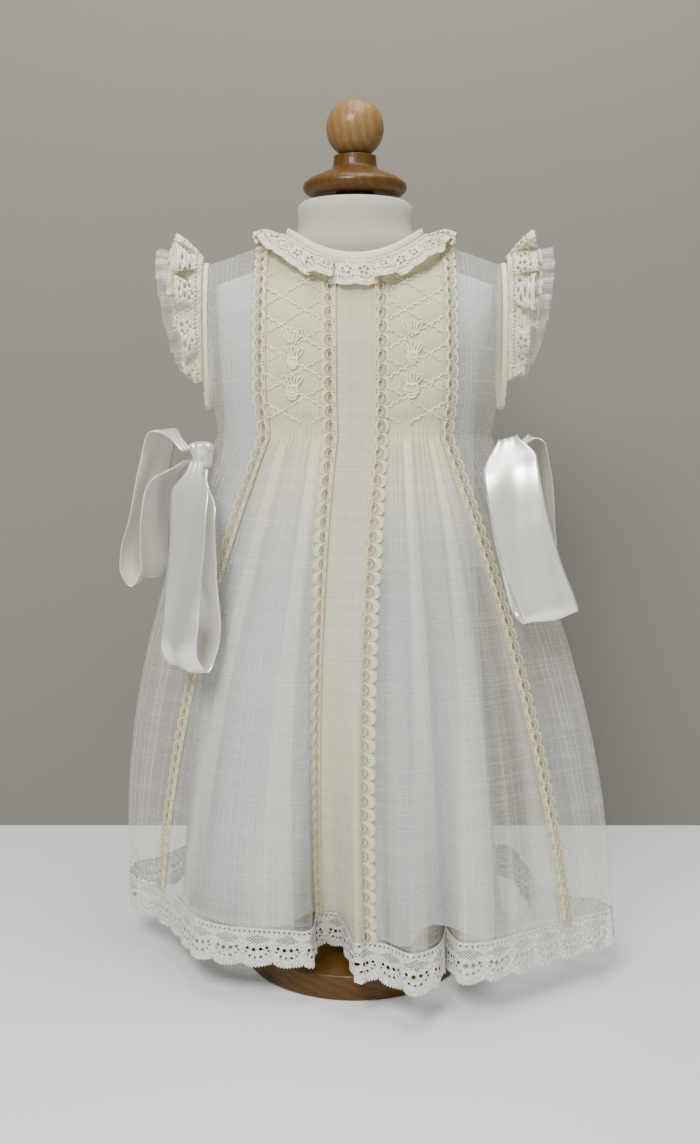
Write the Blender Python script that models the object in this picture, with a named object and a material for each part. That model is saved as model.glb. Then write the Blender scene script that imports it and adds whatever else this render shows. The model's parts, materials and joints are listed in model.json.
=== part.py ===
"""A baby's lace-trimmed dress over a slip, worn by a tabletop dress form on a round foot.

Front faces -Y, the viewer's right is +X, and the foot stands on z = 0. The cloth pieces are walls on two
surfaces, the dress and the slip. Each surface is a function of q, the way round the body (-1 left side seam,
0 centre front, 1 right side seam, 2 centre back), and t, the way down (0 top edge, 1 waist, 2 hem).
"""
import bpy
import numpy as np

# Driving sizes, in metres
GAP = 0.0003
CLOTH = 0.0012
LACE = 0.0010
HEM_Z = 0.025
HEM_LACE = 0.028
WAIST_Z = 0.381
SHOULDER_HALF = 0.100
WAIST_HALF = 0.096
SHOULDER_TIP_Z = 0.498
SHOULDER_SLOPE = 0.35
NECK_HALF = 0.047
NECK_SIDE_Z = 0.516
NECK_FRONT_DROP = 0.021
NECK_ROUND = 0.012
NECK_BACK_RISE = 0.003
CHEST_DEPTH = 0.066
BACK_DEPTH = 0.067
ARMHOLE_BOTTOM_Z = 0.400
ARMHOLE_FRONT = 0.020
ARMHOLE_BACK = 0.022
LACE_WIDTH = 0.0094
LACE_PITCH = 0.0089
RIBBON_WIDTH = 0.036
SLIP_HEM_Z = 0.045
SLIP_STRAP_HALF = 0.096
SLIP_WAIST_HALF = 0.0875
SLIP_DEPTH = 0.0605
SLIP_SHOULDER_Z = 0.5075
SLIP_NECK_HALF = 0.060
SLIP_FRONT_DROP = 0.050
SLIP_BACK_DROP = 0.020
RUFFLE_DEPTH = 0.030
SLEEVE_LACE_DEPTH = 0.021
NECK_RUFFLE_DEPTH = 0.0215
NECK_WAVES = 17
NECK_FALL_FRONT = 61
NECK_FALL_BACK = 50
NECK_FALL_SIDE = 17
BAND_HEIGHT = 0.0050
BAND_LEAN = 0.20
FOOT_RADIUS = 0.080
FOOT_HEIGHT = 0.0177
POLE_RADIUS = 0.010
TORSO_BOTTOM_Z = 0.200
NECK_TOP_Z = 0.539
GATHER_SIZE = 0.0016
SMOCK_ROWS = 30
SMOCK_STEP = 5
SMOCK_HEIGHT = 0.0010
SKIRT_ROWS = 8
RIDGE_ROW = 0.012
SCALLOP = 0.0205
SCALLOP_DEPTH = 0.0035
PICOT = 0.0009
LACE_LIFT = 0.0008
SEAM_STEP = 0.003
WAIST_EASE = 0.03
FRONT_FALL = 0.100
BACK_FALL = 0.070
FRONT_SWELL = 0.55
BACK_SWELL = 0.28
BODICE_ROUND = 3
SLIP_ROUND = 2.3
SLIP_SQUARE = 2.1
SLIP_SCOOP_POWER = 2.4
SLIP_ROW_POWER = 1.3
SLIP_FALL = 0.050
SLIP_ARM_LOW = 0.400
SLIP_ARM_EASE = 0.07
SLIP_SHIFT = 0.004
SLIP_SHIFT_TOP = 0.47
NORMAL_STEP = 0.002
BAND_FLOAT = 0.0003
RUFFLE_START = 0.0010
RUFFLE_LIFTS = (0.0030, 0.0052)
RUFFLE_WAVES = (0.0002, 0.0024)
SLEEVE_BAND_REACH = (0.0009, 0.0066)
SLEEVE_BAND_LIFT = 0.0006
SLEEVE_WAVES = 11
SLEEVE_STEPS = 4
SLEEVE_START_ANGLE = 0.95
SLEEVE_ROOT = 0.0070
SLEEVE_ROUND = 0.55
SLEEVE_END_SHARE = 0.25
CLOTH_FRILL = {"flare": 0.22, "lift": 0.0006, "swing": 0.0042}
LACE_FRILL = {"flare": 0.42, "lift": 0.0026, "swing": 0.0034}
RIBBON_HALF_THICK = 0.0005
RIBBON_DRAWN = 0.45
RIBBON_SPREAD = 0.16
RIBBON_STEPS = 24
KNOT_LEFT = (-0.1037, -0.0330, 0.3680)
KNOT_LEFT_HALF = (0.0080, 0.0105, 0.0095)
KNOT_RIGHT = (0.1072, -0.0240, 0.3700)
KNOT_RIGHT_HALF = (0.0080, 0.0095, 0.0090)
BALL_Z = 0.5885
BALL_RADIUS = 0.0197
BALL_BOTTOM = 0.5703
BALL_TOP_ANGLE = 0.14
FOOT_EDGE = 0.0016

# Columns of the dress panels, as places across the body
CENTRE_COLUMNS = (-0.16, -0.08, 0.0, 0.08, 0.16)
SMOCKED_COLUMNS = (0.16, 0.222, 0.284, 0.346, 0.408, 0.47, 0.54, 0.61)
RIGHT_COLUMNS = (0.61, 0.71, 0.80, 0.855, 0.90, 0.935, 0.96, 0.988, 1.0)
LEFT_COLUMNS = (-1.0, -0.985, -0.94, -0.86, -0.74, -0.61)
SLIP_COLUMNS = (-1, -0.97, -0.86, -0.72, -0.57, -0.40, -0.2, 0, 0.2, 0.40, 0.57, 0.72, 0.86, 0.97, 1)
BACK_COLUMNS = (1.0, 0.985, 0.93, 0.82, 0.66, 0.47, 0.31, 0.155, 0.0)

# One row for each fold of the dress: where it starts round the waist, as a share of the half width, then its
# place in plan half way down the skirt and at the hem, in millimetres.
FOLDS = (
    # side, across, mid_x, mid_y, hem_x, hem_y
    ("front", -1.000, -156, 12, -168, 22),
    ("front", -0.860, -142, -12, -160, 4),
    ("front", -0.610, -114, -34, -143, -8),
    ("front", -0.540, -101, -48, -126, -34),
    ("front", -0.470, -87, -62, -110, -68),
    ("front", -0.408, -74, -74, -90, -78),
    ("front", -0.346, -60, -81, -70, -83),
    ("front", -0.284, -46, -85, -48, -85),
    ("front", -0.222, -33, -86, -29, -86),
    ("front", -0.160, -26, -76, -26, -56),
    ("front", -0.080, -16, -78, -9, -50),
    ("front", 0.000, -8, -86, -3, -80),
    ("front", 0.080, -1, -93, 1, -107),
    ("front", 0.160, 5, -93, 8, -103),
    ("front", 0.222, 17, -97, 20, -108),
    ("front", 0.284, 30, -102, 36, -125),
    ("front", 0.346, 45, -95, 53, -112),
    ("front", 0.408, 54, -84, 61, -79),
    ("front", 0.470, 65, -91, 71, -108),
    ("front", 0.540, 91, -82, 104, -97),
    ("front", 0.610, 114, -68, 147, -71),
    ("front", 0.800, 142, -52, 168, -60),
    ("front", 0.900, 156, -42, 179, -52),
    ("front", 0.960, 151, -30, 172, -38),
    ("back", 1.000, 140, -18, 152, -32),
    ("back", 0.960, 128, 2, 132, -12),
    ("back", 0.820, 118, 38, 130, 34),
    ("back", 0.660, 104, 58, 118, 76),
    ("back", 0.470, 74, 64, 80, 66),
    ("back", 0.310, 50, 76, 58, 98),
    ("back", 0.155, 24, 72, 26, 76),
    ("back", 0.000, 0, 80, 0, 104),
    ("back", -0.155, -26, 72, -28, 76),
    ("back", -0.310, -54, 74, -60, 98),
    ("back", -0.470, -80, 62, -86, 68),
    ("back", -0.660, -112, 60, -124, 82),
    ("back", -0.820, -136, 44, -146, 52),
    ("back", -0.960, -152, 26, -164, 38),
)

# The same for the slip, which hangs inside the dress and a little to the left.
SLIP_FOLDS = (
    # side, across, mid_x, mid_y, hem_x, hem_y
    ("front", -1.000, -112, 4, -126, 6),
    ("front", -0.750, -98, -36, -114, -30),
    ("front", -0.450, -66, -62, -84, -60),
    ("front", -0.200, -32, -66, -50, -60),
    ("front", 0.000, -4, -68, -18, -32),
    ("front", 0.250, 26, -76, 30, -92),
    ("front", 0.420, 48, -72, 54, -60),
    ("front", 0.600, 72, -62, 86, -80),
    ("front", 0.850, 84, -36, 100, -56),
    ("back", 1.000, 89, -4, 104, -14),
    ("back", 0.700, 78, 34, 88, 34),
    ("back", 0.300, 36, 60, 46, 56),
    ("back", -0.100, -14, 62, -10, 54),
    ("back", -0.450, -58, 60, -62, 62),
    ("back", -0.800, -102, 34, -116, 42),
)

# Rosebuds: place across the front and height, then width and height of each, and the mound's outline
ROSEBUDS = (
    # name, x, z, width, tall
    ("upper_left", -0.0400, 0.4281, 0.0090, 0.0068),
    ("lower_left", -0.0405, 0.4095, 0.0110, 0.0092),
    ("upper_right", 0.0364, 0.4312, 0.0096, 0.0072),
    ("lower_right", 0.0360, 0.4107, 0.0126, 0.0090),
)
BUD_PROFILE = ((0.80, 0.0), (1.0, 0.0008), (0.85, 0.0020), (0.45, 0.0028))

# The dress form, ring by ring from the bottom: height, half width, half depth, squareness.
TORSO = (
    (0.2000, 0.0740, 0.0480, 2.2),
    (0.2040, 0.0800, 0.0520, 2.2),
    (0.2400, 0.0840, 0.0560, 2.2),
    (0.3000, 0.0800, 0.0520, 2.2),
    (0.3600, 0.0770, 0.0500, 2.2),
    (0.4050, 0.0828, 0.0530, 2.2),
    (0.4480, 0.0820, 0.0520, 2.2),
    (0.4600, 0.0800, 0.0500, 2.1),
    (0.4680, 0.0730, 0.0455, 2.0),
    (0.4770, 0.0580, 0.0405, 2.0),
    (0.4860, 0.0500, 0.0375, 2.0),
    (0.4990, 0.0465, 0.0375, 2.0),
    (0.5115, 0.0450, 0.0393, 2.0),
    (0.5200, 0.0396, 0.0380, 2.0),
    (0.5380, 0.0380, 0.0378, 2.0),
    (0.5390, 0.0360, 0.0358, 2.0),
)

# The hanging loops of the bows, along the middle of the ribbon, from the knot round and back to it
LEFT_FRONT_LOOP = (
    # x, y, z
    (-0.1050, -0.0450, 0.3640),
    (-0.1085, -0.0600, 0.3470),
    (-0.1100, -0.0690, 0.3080),
    (-0.1140, -0.0720, 0.2640),
    (-0.1160, -0.0700, 0.2360),
    (-0.1110, -0.0640, 0.2270),
    (-0.1050, -0.0590, 0.2400),
    (-0.1045, -0.0580, 0.2900),
    (-0.1050, -0.0560, 0.3300),
    (-0.1040, -0.0450, 0.3595),
)
LEFT_BACK_LOOP = (
    # x, y, z
    (-0.1130, -0.0315, 0.3720),
    (-0.1290, -0.0260, 0.3850),
    (-0.1380, -0.0180, 0.3640),
    (-0.1480, -0.0110, 0.3250),
    (-0.1545, -0.0090, 0.3000),
    (-0.1540, -0.0085, 0.2860),
    (-0.1485, -0.0075, 0.2785),
    (-0.1430, -0.0070, 0.2860),
    (-0.1415, -0.0085, 0.3020),
    (-0.1390, -0.0120, 0.3250),
    (-0.1320, -0.0190, 0.3500),
    (-0.1130, -0.0305, 0.3640),
)
RIGHT_FRONT_LOOP = (
    # x, y, z
    (0.1080, -0.0331, 0.3740),
    (0.1010, -0.0500, 0.3800),
    (0.1010, -0.0640, 0.3640),
    (0.1070, -0.0740, 0.3260),
    (0.1160, -0.0780, 0.2960),
    (0.1270, -0.0790, 0.2640),
    (0.1240, -0.0720, 0.2660),
    (0.1130, -0.0700, 0.3000),
    (0.1050, -0.0620, 0.3420),
    (0.1080, -0.0331, 0.3660),
)
RIGHT_BACK_LOOP = (
    # x, y, z
    (0.1145, -0.0210, 0.3740),
    (0.1240, -0.0120, 0.3800),
    (0.1330, 0.0040, 0.3600),
    (0.1380, 0.0120, 0.3200),
    (0.1400, 0.0150, 0.2960),
    (0.1350, 0.0160, 0.2820),
    (0.1295, 0.0140, 0.2950),
    (0.1270, 0.0110, 0.3200),
    (0.1230, 0.0020, 0.3480),
    (0.1145, -0.0190, 0.3660),
)

CREAM = (0.86, 0.83, 0.68)
LACE_CREAM = (0.90, 0.84, 0.68)
WHITE = (0.88, 0.90, 0.92)
SATIN = (0.93, 0.92, 0.86)
LINEN = (0.78, 0.74, 0.69)
WOOD = (0.48, 0.27, 0.10)


def material(name, colour, roughness):
    """One Principled material for a kind of stuff."""
    found = bpy.data.materials.get(name)
    if found:
        return found
    made = bpy.data.materials.new(name)
    made.use_nodes = True
    shader = made.node_tree.nodes["Principled BSDF"]
    shader.inputs["Base Color"].default_value = (*colour, 1.0)
    shader.inputs["Roughness"].default_value = roughness
    shader.inputs["Metallic"].default_value = 0.0
    return made


def add_object(name, points, faces, stuff):
    """A mesh object from points and faces, turned inside out if its volume comes out negative."""
    mesh = bpy.data.meshes.new(name)
    mesh.from_pydata([tuple(p) for p in points], [], faces)
    mesh.validate()
    made = bpy.data.objects.new(name, mesh)
    bpy.context.scene.collection.objects.link(made)
    mesh.calc_loop_triangles()
    co = np.array([v.co for v in mesh.vertices])
    tri = np.array([t.vertices for t in mesh.loop_triangles])
    a, b, c = co[tri[:, 0]], co[tri[:, 1]], co[tri[:, 2]]
    if (a * np.cross(b, c)).sum() < 0:
        mesh.flip_normals()
    mesh.shade_smooth()
    mesh.set_sharp_from_angle(angle=0.7)
    mesh.materials.append(stuff)
    return made


def split(quad, points, away):
    """Two triangles from a quad, along the diagonal that stands further out."""
    p = points[list(quad)]
    first = ((p[0] + p[2] - p[1] - p[3]) @ away) > 0
    i, j, k, m = quad
    return ((i, j, k), (i, k, m)) if first else ((i, j, m), (j, k, m))


def wall(name, outer, inner, stuff, closed=False):
    """A closed wall between two grids of the same size. Rows run down, columns run round; closed joins the
    last column to the first. Both faces are cut into triangles along the same diagonals."""
    rows, cols = outer.shape[:2]
    points = np.concatenate([outer.reshape(-1, 3), inner.reshape(-1, 3)])
    shift = rows * cols

    def at(r, c):
        return r * cols + c % cols

    faces = []
    last = cols if closed else cols - 1
    for r in range(rows - 1):
        for c in range(last):
            quad = (at(r, c), at(r, c + 1), at(r + 1, c + 1), at(r + 1, c))
            away = points[list(quad)].mean(0) - points[[i + shift for i in quad]].mean(0)
            for face in split(quad, points, away):
                faces.append(face)
                faces.append(tuple(i + shift for i in reversed(face)))
    for c in range(last):
        faces.append((at(0, c + 1), at(0, c), at(0, c) + shift, at(0, c + 1) + shift))
        low = rows - 1
        faces.append((at(low, c), at(low, c + 1), at(low, c + 1) + shift, at(low, c) + shift))
    if not closed:
        for r in range(rows - 1):
            faces.append((at(r, 0), at(r + 1, 0), at(r + 1, 0) + shift, at(r, 0) + shift))
            end = cols - 1
            faces.append((at(r + 1, end), at(r, end), at(r, end) + shift, at(r + 1, end) + shift))
    return add_object(name, points, faces, stuff)


def turned(name, profile, stuff, sides=22, centre=(0.0, 0.0)):
    """A solid of revolution from (radius, height) pairs, bottom to top, with flat caps."""
    angle = np.linspace(0, 2 * np.pi, sides, endpoint=False)
    rings = [
        np.stack([centre[0] + r * np.cos(angle), centre[1] + r * np.sin(angle), np.full(sides, z)], 1)
        for r, z in profile
    ]
    return rings_solid(name, rings, stuff)


def rings_solid(name, rings, stuff):
    """A closed solid through rings of equal length, bottom to top, each end closed by a flat face."""
    sides = len(rings[0])
    faces = []
    for k in range(len(rings) - 1):
        for i in range(sides):
            j = (i + 1) % sides
            low, high = k * sides, (k + 1) * sides
            faces.append((low + i, low + j, high + j, high + i))
    faces.append(tuple(reversed(range(sides))))
    top = (len(rings) - 1) * sides
    faces.append(tuple(range(top, top + sides)))
    return add_object(name, np.concatenate(rings), faces, stuff)


def ease(x):
    """0 below 0, 1 above 1 and a smooth step between."""
    x = np.clip(x, 0, 1)
    return x * x * (3 - 2 * x)


def way_round(side, across):
    """q of a place on the front or back, across the body from -1 left to 1 right."""
    turn = 2 / np.pi * np.arcsin(across)
    return turn if side == "front" else 2 - turn


def cyclic(q, knots, values):
    """A smooth closed curve through values at knots, 4 apart from end to end (cubic, with mean slopes)."""
    k = np.concatenate([knots[-2:] - 4, knots, knots[:3] + 4])
    v = np.concatenate([values[-2:], values, values[:3]])
    slope = np.zeros_like(v)
    slope[1:-1] = (v[2:] - v[:-2]) / (k[2:] - k[:-2])
    q = (q - knots[0]) % 4 + knots[0]
    i = np.clip(np.searchsorted(k, q, side="right") - 1, 1, len(k) - 3)
    h = k[i + 1] - k[i]
    x = (q - k[i]) / h
    start, end = v[i], v[i + 1]
    return (
        (1 + 2 * x) * (1 - x) ** 2 * start
        + x * (1 - x) ** 2 * h * slope[i]
        + x * x * (3 - 2 * x) * end
        + x * x * (x - 1) * h * slope[i + 1]
    )


def fold_table(rows):
    """Knots and columns of a fold table, in metres."""
    knots = np.array([way_round(side, across) for side, across, *_ in rows])
    return knots, np.array([row[2:] for row in rows], float) / 1000


def hang(q, v, waist, table):
    """Plan place of a skirt at depth v (0 waist, 1 hem): a parabola through waist, middle and hem."""
    knots, columns = table
    mid = [cyclic(q, knots, columns[:, k]) for k in (0, 1)]
    hem = [cyclic(q, knots, columns[:, k]) for k in (2, 3)]
    start, middle, end = (1 - v) * (1 - 2 * v), 4 * v * (1 - v), v * (2 * v - 1)
    return [start * waist[k] + middle * mid[k] + end * hem[k] for k in (0, 1)]


DRESS_TABLE = fold_table(FOLDS)
SLIP_TABLE = fold_table(SLIP_FOLDS)


def ridge(x):
    """Height of the dress's shoulder line."""
    return NECK_SIDE_Z + 0.0010 + SHOULDER_SLOPE * (NECK_HALF - 0.001 - np.hypot(x, NECK_ROUND))


def neckline(x, front):
    """Height of the neckline in front or at the back."""
    share = 1 - np.clip(np.abs(x) / NECK_HALF, 0, 1) ** 2
    return NECK_SIDE_Z + np.where(front, -NECK_FRONT_DROP, NECK_BACK_RISE) * share


def armhole(z):
    """Half opening of the armhole at a height, as a share: an ellipse."""
    middle = (SHOULDER_TIP_Z + ARMHOLE_BOTTOM_Z) / 2
    reach = (SHOULDER_TIP_Z - ARMHOLE_BOTTOM_Z) / 2
    return np.sqrt(np.clip(1 - ((z - middle) / reach) ** 2, 0, 1))


def bodice_depth(across, x, z, front):
    """How far the bodice stands in front of (or behind) the shoulder line."""
    girth = np.sqrt(np.clip(1 - np.abs(across) ** BODICE_ROUND, 0, 1))
    fall = np.where(front, FRONT_FALL, BACK_FALL)
    power = np.where(front, FRONT_SWELL, BACK_SWELL)
    drop = np.sin(np.pi / 2 * np.clip((ridge(x) - z) / fall, 0, 1)) ** power
    depth = np.where(front, CHEST_DEPTH, BACK_DEPTH) * girth * drop
    edge = np.where(front, ARMHOLE_FRONT, ARMHOLE_BACK) * armhole(z) * np.abs(across) ** 6
    return np.where(front, -1, 1) * (depth + edge + GAP * 0.7)


def dress(q, t):
    """The dress's middle surface. q and t are arrays of one shape; the result's last axis is x, y, z."""
    q = (np.asarray(q, float) + 1) % 4 - 1
    front = q <= 1
    across = np.sin(np.pi / 2 * np.where(front, q, 2 - q))
    x_top = across * SHOULDER_HALF
    top = np.where(np.abs(x_top) < NECK_HALF, neckline(x_top, front), ridge(x_top))
    z = top + (WAIST_Z - top) * np.clip(t, 0, 1)
    half = WAIST_HALF + (SHOULDER_HALF - WAIST_HALF) * ease((z - WAIST_Z) / WAIST_EASE)
    x = across * half
    y = bodice_depth(across, x, z, front)
    v = np.clip(t - 1, 0, 1)
    hung = hang(q, v, (x, y), DRESS_TABLE)
    z = np.where(t > 1, WAIST_Z + (HEM_Z - WAIST_Z) * v, z)
    return np.stack([hung[0], hung[1], z], -1)


def slip(q, t):
    """The slip's middle surface: the dress form's rings, let out, then its own skirt."""
    q = (np.asarray(q, float) + 1) % 4 - 1
    front = q <= 1
    across = np.sin(np.pi / 2 * np.where(front, q, 2 - q))
    x_top = across * SLIP_STRAP_HALF
    ridge_z = SLIP_SHOULDER_Z - SHOULDER_SLOPE * np.abs(x_top)
    scoop = np.where(front, SLIP_FRONT_DROP, SLIP_BACK_DROP)
    top = ridge_z - scoop * (1 - np.clip(np.abs(x_top) / SLIP_NECK_HALF, 0, 1) ** SLIP_SCOOP_POWER)
    z = top + (WAIST_Z - top) * np.clip(t, 0, 1) ** SLIP_ROW_POWER
    half = SLIP_WAIST_HALF + (SLIP_STRAP_HALF - SLIP_WAIST_HALF) * ease((z - SLIP_ARM_LOW) / SLIP_ARM_EASE)
    x = across * half
    girth = np.clip(1 - np.abs(across) ** SLIP_ROUND, 0, 1) ** (1 / SLIP_SQUARE)
    fall = np.clip((ridge_z - z) / SLIP_FALL, 0, 1)
    y = np.where(front, -1, 1) * (SLIP_DEPTH * girth * np.sin(np.pi / 2 * fall) ** 0.5 + GAP * 0.7)
    v = np.clip(t - 1, 0, 1)
    shift = SLIP_SHIFT * ease((SLIP_SHIFT_TOP - z) / SLIP_ARM_EASE)
    hung = hang(q, v, (x - shift, y), SLIP_TABLE)
    z = np.where(t > 1, WAIST_Z + (SLIP_HEM_Z - WAIST_Z) * v, z)
    return np.stack([hung[0], hung[1], z], -1)


def outward(surface, q, t):
    """Unit normals of a surface, pointing away from the body."""
    small = NORMAL_STEP
    along = surface(q + small, t) - surface(q - small, t)
    low, high = np.clip(t - small, 0.004, 2), np.clip(t + small, 0.008, 2)
    down = surface(q, high) - surface(q, low)
    normal = np.cross(down, along)
    return normal / np.linalg.norm(normal, axis=-1, keepdims=True)


def facing(surface, q, t, grid):
    """Unit normals of a panel's points: from the points themselves inside it, from the surface at its seams
    so that neighbours agree, and upright along a shoulder's top edge."""
    normal = np.cross(np.gradient(grid, axis=0), np.gradient(grid, axis=1))
    for edge, inward in ((0, SEAM_STEP), (-1, -SEAM_STEP)):
        normal[:, edge] = outward(surface, q[:, edge] + inward, t[:, edge])
    shoulder = np.abs(grid[0, :, 1]) < 0.001
    normal[0, shoulder, 1] = 0.0
    return normal / np.linalg.norm(normal, axis=-1, keepdims=True)


def stretch(surface, q, t):
    """Metres of cloth for one unit of q."""
    small = NORMAL_STEP
    step = np.linalg.norm(surface(q + small, t) - surface(q - small, t), axis=-1)
    return np.maximum(step / (2 * small), 0.02)


def columns(side, across):
    """q of a list of places across the front or the back."""
    return [way_round(side, a) for a in across]


def panel_grid(surface, q_columns, rows):
    """q and t of a panel's points, its two side edges set back by half a seam's gap."""
    q = np.repeat(np.asarray(q_columns, float)[None, :], len(rows), 0)
    t = np.repeat(np.asarray(rows, float)[:, None], len(q_columns), 1)
    q[:, 0] += GAP / 2 / stretch(surface, q[:, 0], t[:, 0])
    q[:, -1] -= GAP / 2 / stretch(surface, q[:, -1], t[:, -1])
    return q, t


def panel(name, surface, q_columns, rows, stuff, waves=None, relief=None):
    """A cloth panel: a wall on the surface. Waves move the whole wall, relief only its outer points."""
    q, t = panel_grid(surface, q_columns, rows)
    middle = surface(q, t)
    if waves is not None:
        middle = middle + outward(surface, q, t) * waves[..., None]
    normal = facing(surface, q, t, middle)
    half = normal * CLOTH / 2
    outer, inner = middle + half, middle - half
    if relief is None:
        wall(name, outer, inner, stuff)
    else:
        wall(name, outer + normal * relief[..., None], inner, stuff)
        cover = relief.max(1)[:, None, None] * normal
        outer[:, [1, -2]] += cover[:, [1, -2]]
    return {"outer": outer, "inner": inner, "normal": normal, "rows": np.asarray(rows)}


def gathers(rows, count):
    """Small waves released below the smocking, one fold to every two columns, gone half way down."""
    depth = np.clip(np.asarray(rows) - 1, 0, 1)
    fade = np.exp(-(((depth - 0.05) / 0.28) ** 2)) * ease(depth / 0.02)
    side = np.where(np.arange(count) % 2, 1.0, -1.0)
    side[[0, 1, -2, -1]] = 0.0
    return GATHER_SIZE * fade[:, None] * side[None, :]


def smocking(rows, count, lean):
    """Raised diamond lattice above the waist: one stitched line for every SMOCK_STEP rows each way."""
    row = np.arange(len(rows))[:, None]
    column = np.arange(count)[None, :]
    main = (row - lean * column) % SMOCK_STEP == 0
    cross = (row + lean * column) % SMOCK_STEP == 0
    free = (column > 0) & (column < count - 1) & (row > 2) & (np.asarray(rows)[:, None] < 0.99)
    return SMOCK_HEIGHT * (main | cross) * free


def hem_share():
    """t where the panels end and the hem lace begins."""
    return 2 - HEM_LACE / (WAIST_Z - HEM_Z)


def dress_panels(stuff):
    """Centre front, two smocked fronts, two side fronts and two backs, from shoulder to hem lace."""
    end = hem_share() - GAP / (WAIST_Z - HEM_Z)
    skirt = 1 + (end - 1) * np.linspace(0, 1, SKIRT_ROWS + 1)[1:]
    bodice = np.linspace(0, 1, SMOCK_ROWS + 1)
    fine = np.concatenate([[0, RIDGE_ROW], bodice[1:], skirt])
    plain = np.concatenate([[0, RIDGE_ROW], bodice[1:-1:3], [1], skirt])
    smocked = np.array(SMOCKED_COLUMNS)
    made = {}
    made["centre"] = panel("centre_front", dress, columns("front", CENTRE_COLUMNS), plain, stuff)
    for word, sign in (("left", -1), ("right", 1)):
        across = smocked if sign > 0 else -smocked[::-1]
        count = len(across)
        made["smocked_" + word] = panel(
            "smocked_front_" + word, dress, columns("front", across), fine, stuff,
            waves=gathers(fine, count), relief=smocking(fine, count, -sign),
        )
    for word, across in (("left", LEFT_COLUMNS), ("right", RIGHT_COLUMNS)):
        made["side_" + word] = panel("side_front_" + word, dress, columns("front", across), plain, stuff)
    back = np.array(BACK_COLUMNS)
    made["back_right"] = panel("back_right", dress, columns("back", back), plain, stuff)
    made["back_left"] = panel("back_left", dress, columns("back", -back[::-1]), plain, stuff)
    return made


def edge_lines(made, last, rows):
    """A panel's seam line, the line of its next column and the normals there, at any rows."""
    seam, inward = (-1, -2) if last else (0, 1)
    lines = []
    for grid, column in ((made["outer"], seam), (made["outer"], inward), (made["normal"], seam)):
        lines.append(np.stack([np.interp(rows, made["rows"], grid[:, column, k]) for k in range(3)], -1))
    return lines


def lace_strip(name, before, after, picots_after, stuff):
    """A lace edging over the seam between two panels, made from their own points and moved out. One edge is
    straight; the other has a picot to each repeat."""
    rows = np.union1d(before["rows"], after["rows"])[1:]
    seam_b, next_b, normal_b = edge_lines(before, True, rows)
    seam_a, next_a, normal_a = edge_lines(after, False, rows)
    normal = normal_b + normal_a
    normal = normal / np.linalg.norm(normal, axis=1, keepdims=True)
    centre = (seam_b + seam_a) / 2
    toward_b, toward_a = next_b - seam_b, next_a - seam_a
    toward_b = toward_b / np.linalg.norm(toward_b, axis=1, keepdims=True)
    toward_a = toward_a / np.linalg.norm(toward_a, axis=1, keepdims=True)
    run = np.concatenate([[0], np.cumsum(np.linalg.norm(np.diff(centre, axis=0), axis=1))])
    count = int(run[-1] / LACE_PITCH)
    along = np.linspace(0, run[-1], 2 * count + 1)

    def at(line):
        return np.stack([np.interp(along, run, line[:, k]) for k in range(3)], -1)

    half = LACE_WIDTH / 2
    plain, scalloped = (toward_b, toward_a) if picots_after else (toward_a, toward_b)
    plain_seam, scalloped_seam = (seam_b, seam_a) if picots_after else (seam_a, seam_b)
    reach = half + np.where(np.arange(2 * count + 1) % 2, PICOT, -PICOT / 2)[:, None]
    lift = at(normal) * LACE_LIFT
    straight = (at(plain_seam) + at(plain) * half + lift)[::2]
    middle = (at(centre) + lift)[::2]
    edge = at(scalloped_seam) + at(scalloped) * reach + lift
    low = np.concatenate([straight, middle, edge])
    thick = at(normal) * LACE
    high = low + np.concatenate([thick[::2], thick[::2], thick])
    shift = len(low)
    mid, out = count + 1, 2 * (count + 1)
    top = []
    for k in range(count):
        top.append((k, mid + k, mid + k + 1, k + 1))
        top.append((mid + k, out + 2 * k, out + 2 * k + 1))
        top.append((mid + k, out + 2 * k + 1, mid + k + 1))
        top.append((mid + k + 1, out + 2 * k + 1, out + 2 * k + 2))
    rim = list(range(count, -1, -1)) + [mid] + list(range(out, out + 2 * count + 1)) + [mid + count]
    faces = [tuple(reversed(face)) for face in top]
    faces += [tuple(i + shift for i in face) for face in top]
    for i, j in zip(rim, rim[1:] + rim[:1]):
        faces.append((i, j, j + shift, i + shift))
    return add_object(name, np.concatenate([low, high]), faces, stuff)


def hem_lace(name, q_left, q_right, stuff):
    """The scalloped lace below the panels, following every fold."""
    q = np.linspace(q_left, q_right, 4001)
    run = np.cumsum(stretch(dress, q, np.full(4001, 1.99))) * (q[1] - q[0])
    half_scallops = 2 * int(round(run[-1] / SCALLOP))
    place = np.interp(np.linspace(GAP, run[-1] - GAP, half_scallops + 1), run, q)[None, :]
    valley = np.where(np.arange(half_scallops + 1) % 2, 0.0, SCALLOP_DEPTH)
    t = np.stack([np.full(half_scallops + 1, hem_share()), 2 - valley / (WAIST_Z - HEM_Z)])
    middle = dress(np.repeat(place, 2, 0), t)
    normal = np.cross(np.gradient(middle, axis=0), np.gradient(middle, axis=1))
    normal = normal / np.linalg.norm(normal, axis=-1, keepdims=True)
    return wall(name, middle + normal * LACE / 2, middle - normal * LACE / 2, stuff)


def neck_ring(made):
    """Points round the neck opening on the panels' top edges, clockwise from the left, with their tops."""
    ring = []
    for part in ("smocked_left", "centre", "smocked_right", "back_right", "back_left"):
        middle = (made[part]["outer"][0] + made[part]["inner"][0]) / 2
        middle[:, 2] = made[part]["outer"][0, :, 2]
        inside = np.abs(middle[:, 0]) < NECK_HALF + 0.0005
        ring.append(middle[inside])
    ring = np.concatenate(ring)
    apart = np.linalg.norm(ring - np.roll(ring, 1, 0), axis=1)
    return ring[apart > 0.002]


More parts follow.
